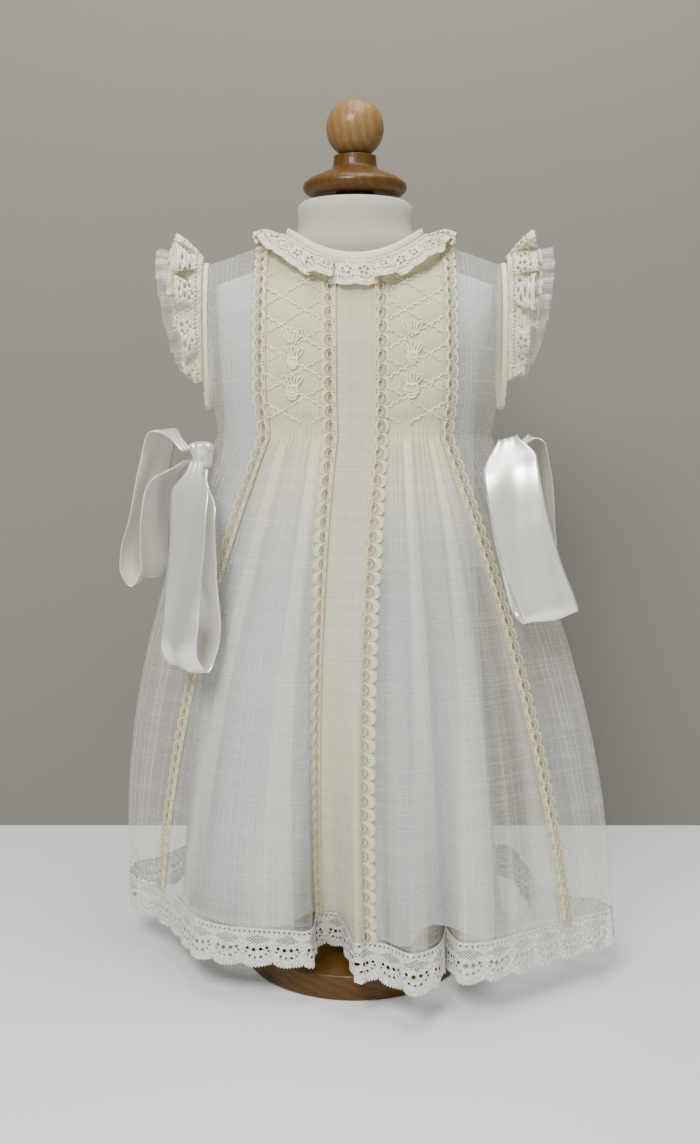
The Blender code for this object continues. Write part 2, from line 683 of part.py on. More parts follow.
def neck_band(made, stuff):
    """The narrow bound band that stands on the neckline."""
    ring = neck_ring(made)
    out = ring * [1, 1, 0]
    out = out / np.linalg.norm(out, axis=1, keepdims=True)
    lean = np.array([0.0, 0.0, 1.0]) - out * BAND_LEAN
    rise = np.array([BAND_HEIGHT, 0.0])[:, None, None] * lean[None]
    centre = ring[None] + [0, 0, GAP + BAND_FLOAT] + rise
    wall("neck_band", centre + out * CLOTH / 2, centre - out * CLOTH / 2, stuff, closed=True)


def neck_ruffle(stuff):
    """Gathered lace round the neck, from the band out over the shoulders and chest."""
    angle = np.linspace(0, 2 * np.pi, NECK_WAVES * 4, endpoint=False)
    front = np.cos(angle) >= 0
    x = NECK_HALF * np.sin(angle)
    z = neckline(x, front)
    base = np.stack([x, bodice_depth(x / SHOULDER_HALF, x, z, front), z], -1)
    lean = np.stack([np.sin(angle), -np.cos(angle), np.zeros_like(angle)], -1)
    fall = np.where(front, NECK_FALL_FRONT, NECK_FALL_BACK)
    slope = np.radians(NECK_FALL_SIDE + (fall - NECK_FALL_SIDE) * np.cos(angle) ** 2)[:, None]
    down = np.array([0.0, 0.0, -1.0])
    along = lean * np.cos(slope) + down * np.sin(slope)
    up = lean * np.sin(slope) - down * np.cos(slope)
    reach = np.array([RUFFLE_START, NECK_RUFFLE_DEPTH])[:, None, None]
    lift = np.array(RUFFLE_LIFTS)[:, None, None]
    size = np.array(RUFFLE_WAVES)[:, None, None]
    wave = np.cos(NECK_WAVES * angle)[None, :, None]
    centre = base[None] + along * reach + up * (lift + size * wave)
    wall("neck_ruffle", centre + up * LACE / 2, centre - up * LACE / 2, stuff, closed=True)


def armhole_curve(angle, side):
    """The armhole's edge: angle 0 at the bottom, a quarter turn in front, a half turn at the shoulder."""
    middle = (SHOULDER_TIP_Z + ARMHOLE_BOTTOM_Z) / 2
    reach = (SHOULDER_TIP_Z - ARMHOLE_BOTTOM_Z) / 2
    front = np.sin(angle) >= 0
    y = -np.where(front, ARMHOLE_FRONT, ARMHOLE_BACK) * np.sin(angle)
    z = middle - reach * np.cos(angle)
    radial = np.stack([0 * angle, -np.sin(angle) / ARMHOLE_FRONT, -np.cos(angle) / reach], -1)
    radial = radial / np.linalg.norm(radial, axis=-1, keepdims=True)
    return np.stack([np.full_like(y, side * SHOULDER_HALF), y, z], -1), radial


def sleeve_band(name, side, stuff):
    """The bound edge of an armhole, standing out like a very short sleeve."""
    angle = np.linspace(0, 2 * np.pi, 26, endpoint=False)
    base, radial = armhole_curve(angle, side)
    out = np.array(SLEEVE_BAND_REACH)[:, None, None] * np.array([side, 0, 0.0])
    centre = base[None] + out + radial * SLEEVE_BAND_LIFT
    wall(name, centre + radial * CLOTH / 2, centre - radial * CLOTH / 2, stuff, closed=True)


def sleeve_ruffle(name, side, depth, thickness, stuff, flare, lift, swing):
    """A frill on the armhole band, longest over the shoulder and short at both ends."""
    start = SLEEVE_START_ANGLE
    angle = np.linspace(start, 2 * np.pi - start, SLEEVE_WAVES * SLEEVE_STEPS + 1)
    base, radial = armhole_curve(angle, side)
    share = (angle - start) / (2 * np.pi - 2 * start)
    length = depth * (SLEEVE_END_SHARE + (1 - SLEEVE_END_SHARE) * np.sin(np.pi * share) ** SLEEVE_ROUND)
    sideways = np.array([side, 0, 0.0])
    along = sideways * np.cos(flare) + radial * np.sin(flare)
    up = radial * np.cos(flare) - sideways * np.sin(flare)
    reach = np.array([0.0, 1.0])[:, None, None] * length[None, :, None]
    wave = np.cos(2 * np.pi * SLEEVE_WAVES * share)[None, :, None]
    size = np.array([0.03, 1.0])[:, None, None] * swing * wave * (length / depth)[None, :, None]
    start_at = base + sideways * SLEEVE_ROOT + radial * lift
    centre = start_at[None] + along * reach + up * size
    wall(name, centre + up * thickness / 2, centre - up * thickness / 2, stuff)


def sleeves(cloth, lace):
    """Band, cloth frill and lace frill on each armhole."""
    for side, word in ((-1, "left"), (1, "right")):
        sleeve_band(f"armhole_band_{word}", side, cloth)
        sleeve_ruffle(f"sleeve_ruffle_{word}", side, RUFFLE_DEPTH, CLOTH, cloth, **CLOTH_FRILL)
        sleeve_ruffle(f"sleeve_lace_{word}", side, SLEEVE_LACE_DEPTH, LACE, lace, **LACE_FRILL)


def rosebuds(stuff):
    """Bullion-stitch rosebuds on the smocked panels, each a low mound just off the cloth."""
    for name, x, height, width, tall in ROSEBUDS:
        q = np.array([way_round("front", x / SHOULDER_HALF)])
        t = (dress(q, np.array([0.0]))[0, 2] - height) / (dress(q, np.array([0.0]))[0, 2] - WAIST_Z)
        centre = dress(q, np.array([t]))[0]
        normal = outward(dress, q, np.array([t]))[0]
        right = np.cross([0, 0, 1.0], normal)
        right = right / np.linalg.norm(right)
        up = np.cross(normal, right)
        angle = np.linspace(0, 2 * np.pi, 12, endpoint=False)
        rings = []
        for share, rise in BUD_PROFILE:
            disc = right * np.cos(angle)[:, None] * width / 2 + up * np.sin(angle)[:, None] * tall / 2
            rings.append(centre + disc * share + normal * (CLOTH / 2 + SMOCK_HEIGHT + 0.0004 + rise))
        rings_solid("rosebud_" + name, rings, stuff)


def ribbon(name, path, across, stuff):
    """A satin ribbon of even width along a smooth path, gathered in at both ends."""
    path = np.asarray(path, float)
    run = np.concatenate([[0], np.cumsum(np.linalg.norm(np.diff(path, axis=0), axis=1))])
    share = np.linspace(0, run[-1], RIBBON_STEPS + 1)
    slope = np.gradient(path, run, axis=0, edge_order=1)
    i = np.clip(np.searchsorted(run, share, side="right") - 1, 0, len(run) - 2)
    h = (run[i + 1] - run[i])[:, None]
    x = ((share - run[i]) / (run[i + 1] - run[i]))[:, None]
    line = (
        (1 + 2 * x) * (1 - x) ** 2 * path[i]
        + x * (1 - x) ** 2 * h * slope[i]
        + x * x * (3 - 2 * x) * path[i + 1]
        + x * x * (x - 1) * h * slope[i + 1]
    )
    tangent = np.gradient(line, axis=0)
    tangent = tangent / np.linalg.norm(tangent, axis=1, keepdims=True)
    wide = np.asarray(across, float) / np.linalg.norm(across)
    flat = np.cross(tangent, wide)
    flat = flat / np.linalg.norm(flat, axis=1, keepdims=True)
    where = share / run[-1]
    open_share = ease(np.minimum(where, 1 - where) / RIBBON_SPREAD)
    spread = RIBBON_DRAWN + (1 - RIBBON_DRAWN) * open_share
    places = np.array([-0.5, 0.0, 0.5])
    grid = line[:, None] + wide * (places[None, :, None] * RIBBON_WIDTH * spread[:, None, None])
    lift = flat[:, None] * RIBBON_HALF_THICK
    return wall(name, grid + lift, grid - lift, stuff)


def knot(name, centre, size, stuff):
    """The knot of a bow: a rounded block, wider than deep."""
    rings = []
    angle = np.linspace(0, 2 * np.pi, 12, endpoint=False)
    for level in np.linspace(-1, 1, 6):
        swell = max(1 - abs(level) ** 2.6, 0.12) ** 0.5
        x = np.sign(np.cos(angle)) * np.abs(np.cos(angle)) ** 0.8 * swell * size[0]
        y = np.sign(np.sin(angle)) * np.abs(np.sin(angle)) ** 0.8 * swell * size[1]
        rings.append(np.stack([centre[0] + x, centre[1] + y, np.full(12, centre[2] + level * size[2])], 1))
    rings_solid(name, rings, stuff)


def bows(stuff):
    """The satin ties at the sides of the waist: a knot and two hanging loops on each."""
    knot("knot_left", KNOT_LEFT, KNOT_LEFT_HALF, stuff)
    ribbon("bow_left_front_loop", LEFT_FRONT_LOOP, (0.78, -0.62, 0.0), stuff)
    ribbon("bow_left_back_loop", LEFT_BACK_LOOP, (0.40, 0.90, 0.05), stuff)
    knot("knot_right", KNOT_RIGHT, KNOT_RIGHT_HALF, stuff)
    ribbon("bow_right_front_loop", RIGHT_FRONT_LOOP, (0.965, 0.0, 0.26), stuff)
    ribbon("bow_right_back_loop", RIGHT_BACK_LOOP, (-0.20, 0.97, 0.1), stuff)


def dress_form(linen, wood):
    """Torso and neck under linen, turned cap and ball on top, pole and round foot below."""
    angle = np.linspace(0, 2 * np.pi, 24, endpoint=False)
    rings = []
    for z, half, depth, square in TORSO:
        c, s = np.cos(angle), np.sin(angle)
        x = half * np.sign(c) * np.abs(c) ** (2 / square)
        y = depth * np.sign(s) * np.abs(s) ** (2 / square)
        rings.append(np.stack([x, y, np.full(24, z)], 1))
    rings_solid("form_torso", rings, linen)
    cap = (
        (0.0140, NECK_TOP_Z + GAP), (0.0140, 0.5445), (0.0290, 0.5440), (0.0340, 0.5460),
        (0.0355, 0.5495), (0.0330, 0.5530), (0.0235, 0.5580), (0.0155, 0.5625), (0.0145, 0.5700),
    )
    turned("neck_cap", cap, wood)
    bottom = np.arccos((BALL_BOTTOM - BALL_Z) / BALL_RADIUS)
    arc = np.linspace(bottom, BALL_TOP_ANGLE, 9)
    ball = [(BALL_RADIUS * np.sin(a), BALL_Z + BALL_RADIUS * np.cos(a)) for a in arc]
    turned("ball_finial", ball, wood)
    pole_top = TORSO_BOTTOM_Z - GAP
    turned("stand_pole", ((POLE_RADIUS, FOOT_HEIGHT + GAP), (POLE_RADIUS, pole_top)), wood, 14)
    foot = (
        (FOOT_RADIUS - FOOT_EDGE, 0.0), (FOOT_RADIUS, FOOT_EDGE), (FOOT_RADIUS, FOOT_HEIGHT - FOOT_EDGE),
        (FOOT_RADIUS - FOOT_EDGE, FOOT_HEIGHT),
    )
    turned("stand_foot", foot, wood, 40)


def slip_panels(stuff):
    """Front and back of the slip, from the shoulders to its plain hem."""
    bodice = np.linspace(0, 1, 6)
    skirt = 1 + np.linspace(0, 1, 6)[1:]
    rows = np.concatenate([[0, 0.06], bodice[1:], skirt])
    across = np.array(SLIP_COLUMNS)
    panel("slip_front", slip, columns("front", across), rows, stuff)
    panel("slip_back", slip, columns("back", -across), rows, stuff)


def main():
    for old in list(bpy.data.objects):
        bpy.data.objects.remove(old)
    cloth = material("sheer_cloth", CREAM, 0.7)
    lace = material("cotton_lace", LACE_CREAM, 0.8)
    white = material("white_lawn", WHITE, 0.7)
    satin = material("satin_ribbon", SATIN, 0.3)
    linen = material("form_linen", LINEN, 0.8)
    wood = material("turned_wood", WOOD, 0.35)
    dress_form(linen, wood)
    slip_panels(white)
    made = dress_panels(cloth)
    lace_strip("lace_outer_left", made["side_left"], made["smocked_left"], False, lace)
    lace_strip("lace_inner_left", made["smocked_left"], made["centre"], False, lace)
    lace_strip("lace_inner_right", made["centre"], made["smocked_right"], True, lace)
    lace_strip("lace_outer_right", made["smocked_right"], made["side_right"], True, lace)
    hem_lace("hem_lace_front", -1, 1, lace)
    hem_lace("hem_lace_back", 1, 3, lace)
    neck_band(made, cloth)
    neck_ruffle(lace)
    sleeves(cloth, lace)
    rosebuds(satin)
    bows(satin)


main()
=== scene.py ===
"""Looks of a baby's lace-trimmed dress over a slip, on a tabletop dress form with a turned foot and finial.

Front faces -Y and the foot stands on z = 0. The cloth lies on two surfaces, the dress and the slip. Each is a
function of q, the way round the body (-1 left side seam, 0 centre front, 1 right side seam, 2 centre back),
and t, the way down (0 top edge, 1 waist, 2 hem).
"""

import json
import math

import bpy
import numpy as np
from bpy.props import FloatProperty, FloatVectorProperty, IntProperty, PointerProperty
from bpy.types import Operator, Panel, PropertyGroup
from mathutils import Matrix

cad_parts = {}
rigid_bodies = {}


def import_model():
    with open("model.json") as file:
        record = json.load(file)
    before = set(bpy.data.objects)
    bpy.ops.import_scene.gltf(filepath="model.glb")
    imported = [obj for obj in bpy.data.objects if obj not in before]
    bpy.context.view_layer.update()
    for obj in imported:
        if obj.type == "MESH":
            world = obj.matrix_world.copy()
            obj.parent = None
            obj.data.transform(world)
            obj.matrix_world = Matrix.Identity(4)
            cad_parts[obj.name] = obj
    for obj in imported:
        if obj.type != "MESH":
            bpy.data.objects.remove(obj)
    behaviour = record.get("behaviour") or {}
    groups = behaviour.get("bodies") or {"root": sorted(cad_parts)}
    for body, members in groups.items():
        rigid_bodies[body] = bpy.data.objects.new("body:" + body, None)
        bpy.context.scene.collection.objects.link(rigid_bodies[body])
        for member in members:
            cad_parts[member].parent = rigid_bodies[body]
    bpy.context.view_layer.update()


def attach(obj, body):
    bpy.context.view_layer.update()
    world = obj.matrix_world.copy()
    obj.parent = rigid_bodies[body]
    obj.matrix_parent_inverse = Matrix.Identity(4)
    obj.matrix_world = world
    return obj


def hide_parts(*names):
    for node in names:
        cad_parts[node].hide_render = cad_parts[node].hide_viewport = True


bl_info = {
    "name": "Lace dress on a dress form",
    "version": (1, 0, 0),
    "blender": (4, 5, 0),
    "location": "View3D > Sidebar > Dress",
    "description": "Builds the cloth, lace, ribbons, form and stage of a baby's lace dress",
    "category": "Mesh",
}

for old in list(bpy.data.objects):
    bpy.data.objects.remove(old)
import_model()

GAP = 0.0003
HEM_Z = 0.025
HEM_LACE = 0.028
WAIST_Z = 0.381
SHOULDER_HALF = 0.100
WAIST_HALF = 0.096
SHOULDER_TIP_Z = 0.498
SHOULDER_SLOPE = 0.35
NECK_HALF = 0.047
NECK_SIDE_Z = 0.516
NECK_FRONT_DROP = 0.021
NECK_ROUND = 0.012
NECK_BACK_RISE = 0.003
CHEST_DEPTH = 0.066
BACK_DEPTH = 0.067
FRONT_FALL = 0.100
BACK_FALL = 0.070
FRONT_SWELL = 0.55
BACK_SWELL = 0.28
BODICE_ROUND = 3
WAIST_EASE = 0.03
ARMHOLE_BOTTOM_Z = 0.400
ARMHOLE_FRONT = 0.020
ARMHOLE_BACK = 0.022
LACE_WIDTH = 0.0094
LACE_PITCH = 0.0089
RIBBON_WIDTH = 0.036
SLIP_HEM_Z = 0.045
SLIP_STRAP_HALF = 0.096
SLIP_WAIST_HALF = 0.0875
SLIP_DEPTH = 0.0605
SLIP_SHOULDER_Z = 0.5175
SLIP_NECK_HALF = 0.060
SLIP_FRONT_DROP = 0.060
SLIP_BACK_DROP = 0.030
SLIP_SCOOP_POWER = 2.4
SLIP_ROW_POWER = 1.3
SLIP_ROUND = 2.3
SLIP_SQUARE = 2.1
SLIP_FALL = 0.062
SLIP_ARM_LOW = 0.400
SLIP_ARM_EASE = 0.07
SLIP_SHIFT = 0.004
SLIP_SHIFT_TOP = 0.47
NECK_FALL_FRONT = 61
NECK_FALL_BACK = 50
NECK_FALL_SIDE = 17
NECK_RUFFLE_DEPTH = 0.0215
RUFFLE_DEPTH = 0.030
SLEEVE_LACE_DEPTH = 0.021
FOOT_RADIUS = 0.080
FOOT_HEIGHT = 0.0177
TORSO_BOTTOM_Z = 0.200
INNER_SEAM = 0.16
OUTER_SEAM = 0.61
STRIP_PLACES = (-OUTER_SEAM, -INNER_SEAM, INNER_SEAM, OUTER_SEAM)
STRIP_BORDER = 0.0010
STRIP_SCALLOP = 0.0020
STRIP_PICOT = 0.0012
STRIP_LIFT = 0.0018
EYELET_HALF_WIDE = 0.0017
EYELET_HALF_TALL = 0.0023
EYELET_FLAT = 0.62
CORD_HIGH = 0.0009
ARCS_HIGH = 0.0012
HEM_SCALLOP = 0.0205
HEM_ARCH = 0.0036
HEM_PICOT = 0.0014
HEM_NARROW = 0.0045
FRILL_ARCH = 0.0015
FRILL_PICOT = 0.0009
FRILL_NARROW = 0.0022
SMOCK_SLOPE = 0.58
SMOCK_PITCH = 0.0185
SMOCK_END_Z = 0.390
NORMAL_STEP = 0.002
BALL_Z = 0.5885
BALL_RADIUS = 0.0197
BALL_BOTTOM = 0.5703
POLE_RADIUS = 0.010
FOOT_EDGE = 0.0016
BINDING_WIDE = 0.013
FINE_THREAD = 0.00038
THREAD_TWIST = 0.0006
LACE_RIBS = 900.0

FOLDS = (
    # side, across, mid_x, mid_y, hem_x, hem_y
    ("front", -1.000, -156, 12, -168, 22),
    ("front", -0.860, -142, -12, -160, 4),
    ("front", -0.610, -114, -34, -143, -8),
    ("front", -0.540, -101, -48, -126, -34),
    ("front", -0.470, -87, -62, -110, -68),
    ("front", -0.408, -74, -74, -90, -78),
    ("front", -0.346, -60, -81, -70, -83),
    ("front", -0.284, -46, -85, -48, -85),
    ("front", -0.222, -33, -86, -29, -86),
    ("front", -0.160, -26, -76, -26, -56),
    ("front", -0.080, -16, -78, -9, -50),
    ("front", 0.000, -8, -86, -3, -80),
    ("front", 0.080, -1, -93, 1, -107),
    ("front", 0.160, 5, -93, 8, -103),
    ("front", 0.222, 17, -97, 20, -108),
    ("front", 0.284, 30, -102, 36, -125),
    ("front", 0.346, 45, -95, 53, -112),
    ("front", 0.408, 54, -84, 61, -79),
    ("front", 0.470, 65, -91, 71, -108),
    ("front", 0.540, 91, -82, 104, -97),
    ("front", 0.610, 114, -68, 147, -71),
    ("front", 0.800, 142, -52, 168, -60),
    ("front", 0.900, 156, -42, 179, -52),
    ("front", 0.960, 151, -30, 172, -38),
    ("back", 1.000, 140, -18, 152, -32),
    ("back", 0.960, 128, 2, 132, -12),
    ("back", 0.820, 118, 38, 130, 34),
    ("back", 0.660, 104, 58, 118, 76),
    ("back", 0.470, 74, 64, 80, 66),
    ("back", 0.310, 50, 76, 58, 98),
    ("back", 0.155, 24, 72, 26, 76),
    ("back", 0.000, 0, 80, 0, 104),
    ("back", -0.155, -26, 72, -28, 76),
    ("back", -0.310, -54, 74, -60, 98),
    ("back", -0.470, -80, 62, -86, 68),
    ("back", -0.660, -112, 60, -124, 82),
    ("back", -0.820, -136, 44, -146, 52),
    ("back", -0.960, -152, 26, -164, 38),
)
SLIP_FOLDS = (
    # side, across, mid_x, mid_y, hem_x, hem_y
    ("front", -1.000, -112, 4, -126, 6),
    ("front", -0.750, -98, -36, -114, -30),
    ("front", -0.450, -66, -62, -84, -60),
    ("front", -0.200, -32, -66, -50, -60),
    ("front", 0.000, -4, -68, -18, -32),
    ("front", 0.250, 26, -76, 30, -92),
    ("front", 0.420, 48, -72, 54, -60),
    ("front", 0.600, 72, -62, 86, -80),
    ("front", 0.850, 84, -36, 100, -56),
    ("back", 1.000, 89, -4, 104, -14),
    ("back", 0.700, 78, 34, 88, 34),
    ("back", 0.300, 36, 60, 46, 56),
    ("back", -0.100, -14, 62, -10, 54),
    ("back", -0.450, -58, 60, -62, 62),
    ("back", -0.800, -102, 34, -116, 42),
)
ROSEBUDS = (
    # name, x, z, width, tall
    ("upper_left", -0.0400, 0.4281, 0.0090, 0.0068),
    ("lower_left", -0.0405, 0.4095, 0.0110, 0.0092),
    ("upper_right", 0.0364, 0.4312, 0.0096, 0.0072),
    ("lower_right", 0.0360, 0.4107, 0.0126, 0.0090),
)
TORSO = (
    # height, half width, half depth, squareness
    (0.2000, 0.0740, 0.0480, 2.2),
    (0.2040, 0.0800, 0.0520, 2.2),
    (0.2400, 0.0840, 0.0560, 2.2),
    (0.3000, 0.0800, 0.0520, 2.2),
    (0.3600, 0.0770, 0.0500, 2.2),
    (0.4050, 0.0828, 0.0530, 2.2),
    (0.4480, 0.0820, 0.0520, 2.2),
    (0.4600, 0.0800, 0.0500, 2.1),
    (0.4680, 0.0730, 0.0455, 2.0),
    (0.4770, 0.0580, 0.0405, 2.0),
    (0.4860, 0.0500, 0.0375, 2.0),
    (0.4990, 0.0465, 0.0375, 2.0),
    (0.5115, 0.0450, 0.0393, 2.0),
    (0.5200, 0.0396, 0.0380, 2.0),
    (0.5380, 0.0380, 0.0378, 2.0),
    (0.5390, 0.0360, 0.0358, 2.0),
)
LEFT_FRONT_LOOP = (
    (-0.1050, -0.0450, 0.3640), (-0.1085, -0.0600, 0.3470), (-0.1100, -0.0690, 0.3080),
    (-0.1140, -0.0720, 0.2640), (-0.1160, -0.0700, 0.2360), (-0.1110, -0.0640, 0.2270),
    (-0.1050, -0.0590, 0.2400), (-0.1045, -0.0580, 0.2900), (-0.1050, -0.0560, 0.3300),
    (-0.1040, -0.0450, 0.3595),
)
LEFT_BACK_LOOP = (
    (-0.1130, -0.0315, 0.3720), (-0.1290, -0.0260, 0.3850), (-0.1380, -0.0180, 0.3640),
    (-0.1480, -0.0110, 0.3250), (-0.1545, -0.0090, 0.3000), (-0.1540, -0.0085, 0.2860),
    (-0.1485, -0.0075, 0.2785), (-0.1430, -0.0070, 0.2860), (-0.1415, -0.0085, 0.3020),
    (-0.1390, -0.0120, 0.3250), (-0.1320, -0.0190, 0.3500), (-0.1130, -0.0305, 0.3640),
)
RIGHT_FRONT_LOOP = (
    (0.1080, -0.0331, 0.3740), (0.1010, -0.0500, 0.3800), (0.1010, -0.0640, 0.3640),
    (0.1070, -0.0740, 0.3260), (0.1160, -0.0780, 0.2960), (0.1270, -0.0790, 0.2640),
    (0.1240, -0.0720, 0.2660), (0.1130, -0.0700, 0.3000), (0.1050, -0.0620, 0.3420),
    (0.1080, -0.0331, 0.3660),
)
RIGHT_BACK_LOOP = (
    (0.1145, -0.0210, 0.3740), (0.1240, -0.0120, 0.3800), (0.1330, 0.0040, 0.3600),
    (0.1380, 0.0120, 0.3200), (0.1400, 0.0150, 0.2960), (0.1350, 0.0160, 0.2820),
    (0.1295, 0.0140, 0.2950), (0.1270, 0.0110, 0.3200), (0.1230, 0.0020, 0.3480),
    (0.1145, -0.0190, 0.3660),
)


CAP = (
    # radius, z
    (0.0139, 0.5393), (0.0140, 0.5445), (0.0141, 0.5445), (0.0285, 0.5439), (0.0315, 0.5444),
    (0.0343, 0.5462), (0.0355, 0.5492), (0.0350, 0.5512), (0.0325, 0.5536), (0.0235, 0.5580),
    (0.0155, 0.5625), (0.0148, 0.5660), (0.0145, 0.5700),
)
KNOT_LEFT = ((-0.1037, -0.0330, 0.3680), (0.0080, 0.0105, 0.0095))
KNOT_RIGHT = ((0.1072, -0.0240, 0.3700), (0.0080, 0.0095, 0.0090))
LIGHTS = (
    # name, place, looks at, size, share of the key, colour
    ("window", (-0.40, -1.20, 1.35), (0.0, 0.0, 0.3), 0.6, 1.2, (1.0, 0.985, 0.94)),
    ("fill", (1.3, -1.1, 0.7), (0.0, 0.0, 0.3), 1.4, 0.10, (1.0, 0.99, 0.96)),
    ("top", (0.15, -0.35, 1.6), (0.0, 0.0, 0.3), 0.7, 0.55, (1.0, 1.0, 0.99)),
    ("behind", (0.10, 0.20, 1.25), (0.0, 0.05, 0.3), 0.5, 0.14, (1.0, 0.99, 0.97)),
)
PHOTO_FOCAL = 1200
PHOTO_TALL = 1144
SENSOR = 36
CAMERA_PLACE = (-0.0034, -0.85, 0.398)
CAMERA_DIP = 7.65
HOLE_ARC = 0.0086
HEM_HOLES = tuple(
    # along, down, radius
    [(HEM_SCALLOP * (i - 2.5) / 6, 0.0024, 0.00060) for i in range(6)]
    + [(-0.0063, 0.0140, 0.0011), (-0.0022, 0.0152, 0.0013), (0.0024, 0.0150, 0.0012), (0.0066, 0.0138, 0.0010)]
    + [(HOLE_ARC * math.sin(a), 0.0122 + HOLE_ARC * math.cos(a), r)
       for a, r in ((-1.05, 0.0006), (-0.60, 0.0008), (-0.16, 0.0007),
                    (0.28, 0.0009), (0.74, 0.0006), (1.12, 0.0007))]
)
HEM_NET = (0.0095, 0.0036, 0.0080, 0.0021)  # half along, half down, centre down, pitch
FRILL_REPEAT = 0.0125
FRILL_HOLES = tuple(
    # along, down, radius
    [(0.0029 * math.sin(a), 0.0104 - 0.0029 * math.cos(a), 0.0010) for a in (0.0, 1.257, 2.513, 3.770, 5.027)]
    + [(x, 0.0168 - abs(x) * 0.25, 0.0006) for x in (-0.0048, -0.0024, 0.0, 0.0024, 0.0048)]
    + [(x, 0.0040, 0.0007) for x in (-0.0047, -0.0016, 0.0016, 0.0047)]
)
STRIP_HOLES = tuple(
    # along, down, radius
    [(0.0033 * math.sin(a), -0.0003 + 0.0034 * math.cos(a), 0.00042)
     for a in (-1.4, -1.0, -0.6, -0.2, 0.2, 0.6, 1.0, 1.4)]
    + [(x, -0.0022, 0.00040) for x in (-0.0035, 0.0035)]
)
PANE_CREAM = (0.97, 0.94, 0.80)
DOUBLED_CREAM = (0.92, 0.90, 0.70)
PLEAT_CREAM = (0.76, 0.73, 0.45)
# painted shade for the valleys between the pleats
PLEAT_VALLEY_SHADE = (0.46, 0.43, 0.22)
PLEAT_MOTTLE = (0.62, 0.62, 0.48)
SATIN_EDGE = (0.6, 0.59, 0.55)
LINEN_PALE = (0.72, 0.66, 0.58)
# a paler wood tone: painted light for the ball
LIT_WOOD_TONE = (0.34, 0.20, 0.075)


def length_property(name, text, default):
    """A size in metres that a user may change."""
    return FloatProperty(name=name, description=text, default=default, min=0.0, unit="LENGTH", precision=4)


def colour_property(name, text, default):
    """A linear colour that a user may change."""
    return FloatVectorProperty(
        name=name, description=text, default=default, size=3, min=0.0, max=1.0, subtype="COLOR"
    )


class DressSizes(PropertyGroup):
    """Sizes of the sewing and the weave."""

    pleat: length_property("Pleat", "Width of one pleat under the smocking", 0.0013)
    puff: length_property("Puff", "Height of the puffs between the smocking stitches", 0.0015)
    pane: length_property("Window pane", "Spacing of the thick threads of the sheer cloth", 0.0015)
    gather: length_property("Gather", "Depth of the gathers below the smocking", 0.0007)
    thread: length_property("Thread", "Half thickness of the embroidery thread", 0.00055)
    scallop: length_property("Scallop", "Width of one scallop of the hem lace", HEM_SCALLOP)
    frill_scallop: length_property("Frill scallop", "Width of one scallop of the frill lace", FRILL_REPEAT)


class DressColours(PropertyGroup):
    """Colours of the cloths, the lace, the ribbon and the form."""

    sheer: colour_property("Sheer cloth", "Fine cloth of the dress", (0.84, 0.83, 0.74))
    cream: colour_property("Doubled cloth", "Cream of the cloth where it lies close", (0.90, 0.86, 0.60))
    slip: colour_property("Slip", "White lawn under the dress", (0.54, 0.565, 0.60))
    lace: colour_property("Frill lace", "Cotton lace of neck and sleeves", (0.95, 0.91, 0.68))
    hem: colour_property("Hem lace", "Cotton lace of the hem", (0.96, 0.95, 0.86))
    ecru: colour_property("Ecru lace", "Lace strips over the seams", (0.86, 0.76, 0.50))
    thread: colour_property("Thread", "Embroidery thread", (1.0, 0.96, 0.70))
    satin: colour_property("Satin", "Satin ribbon", (0.99, 0.965, 0.89))
    linen: colour_property("Linen", "Cover of the form", (0.60, 0.535, 0.455))
    wood: colour_property("Wood", "Varnished wood", (0.100, 0.044, 0.004))
    dark_wood: colour_property("Wood grain", "Dark lines of the wood", (0.022, 0.007, 0.001))


class StageSettings(PropertyGroup):
    """The plain table, the wall and the soft light."""

    table: colour_property("Table", "Pale table top", (0.86, 0.87, 0.88))
    wall: colour_property("Wall", "Plain wall behind", (0.228, 0.211, 0.183))
    key: FloatProperty(name="Key light", description="Power of the large soft light", default=24.0, min=0.0)
    sides: IntProperty(name="Round sides", description="Sides of the turned parts", default=96, min=12)


def sizes():
    """The sewing sizes of this scene."""
    return bpy.context.scene.dress_sizes


def colours():
    """The colours of this scene."""
    return bpy.context.scene.dress_colours


# Surfaces


def ease(x):
    """0 below 0, 1 above 1 and 3x^2 - 2x^3 between."""
    x = np.clip(x, 0, 1)
    return x * x * (3 - 2 * x)


def unit(v):
    """Vectors divided by their lengths."""
    return v / np.maximum(np.linalg.norm(v, axis=-1, keepdims=True), 1e-12)


def lengths(path):
    """Metres run along a path at each of its points."""
    return np.concatenate([[0], np.cumsum(np.linalg.norm(np.diff(path, axis=0), axis=1))])


def full_turn(count):
    """Even angles round a full turn."""
    return np.linspace(0, 2 * np.pi, count, endpoint=False)


def way_round(side, across):
    """q of places across the front or back: two over pi times the arc sine, counted back from 2 behind."""
    turn = 2 / np.pi * np.arcsin(across)
    return turn if side == "front" else 2 - turn


def hermite(x, h, start, end, slope_start, slope_end):
    """Cubic between two values with given slopes: x is 0 to 1 and h the length of the step."""
    return (
        (1 + 2 * x) * (1 - x) ** 2 * start
        + x * (1 - x) ** 2 * h * slope_start
        + x * x * (3 - 2 * x) * end
        + x * x * (x - 1) * h * slope_end
    )


def cyclic(q, knots, values):
    """A smooth closed curve through values at knots, 4 apart from end to end, with mean slopes."""
    k = np.concatenate([knots[-2:] - 4, knots, knots[:3] + 4])
    v = np.concatenate([values[-2:], values, values[:3]])
    slope = np.zeros_like(v)
    slope[1:-1] = (v[2:] - v[:-2]) / (k[2:] - k[:-2])
    q = (q - knots[0]) % 4 + knots[0]
    i = np.clip(np.searchsorted(k, q, side="right") - 1, 1, len(k) - 3)
    h = k[i + 1] - k[i]
    return hermite((q - k[i]) / h, h, v[i], v[i + 1], slope[i], slope[i + 1])


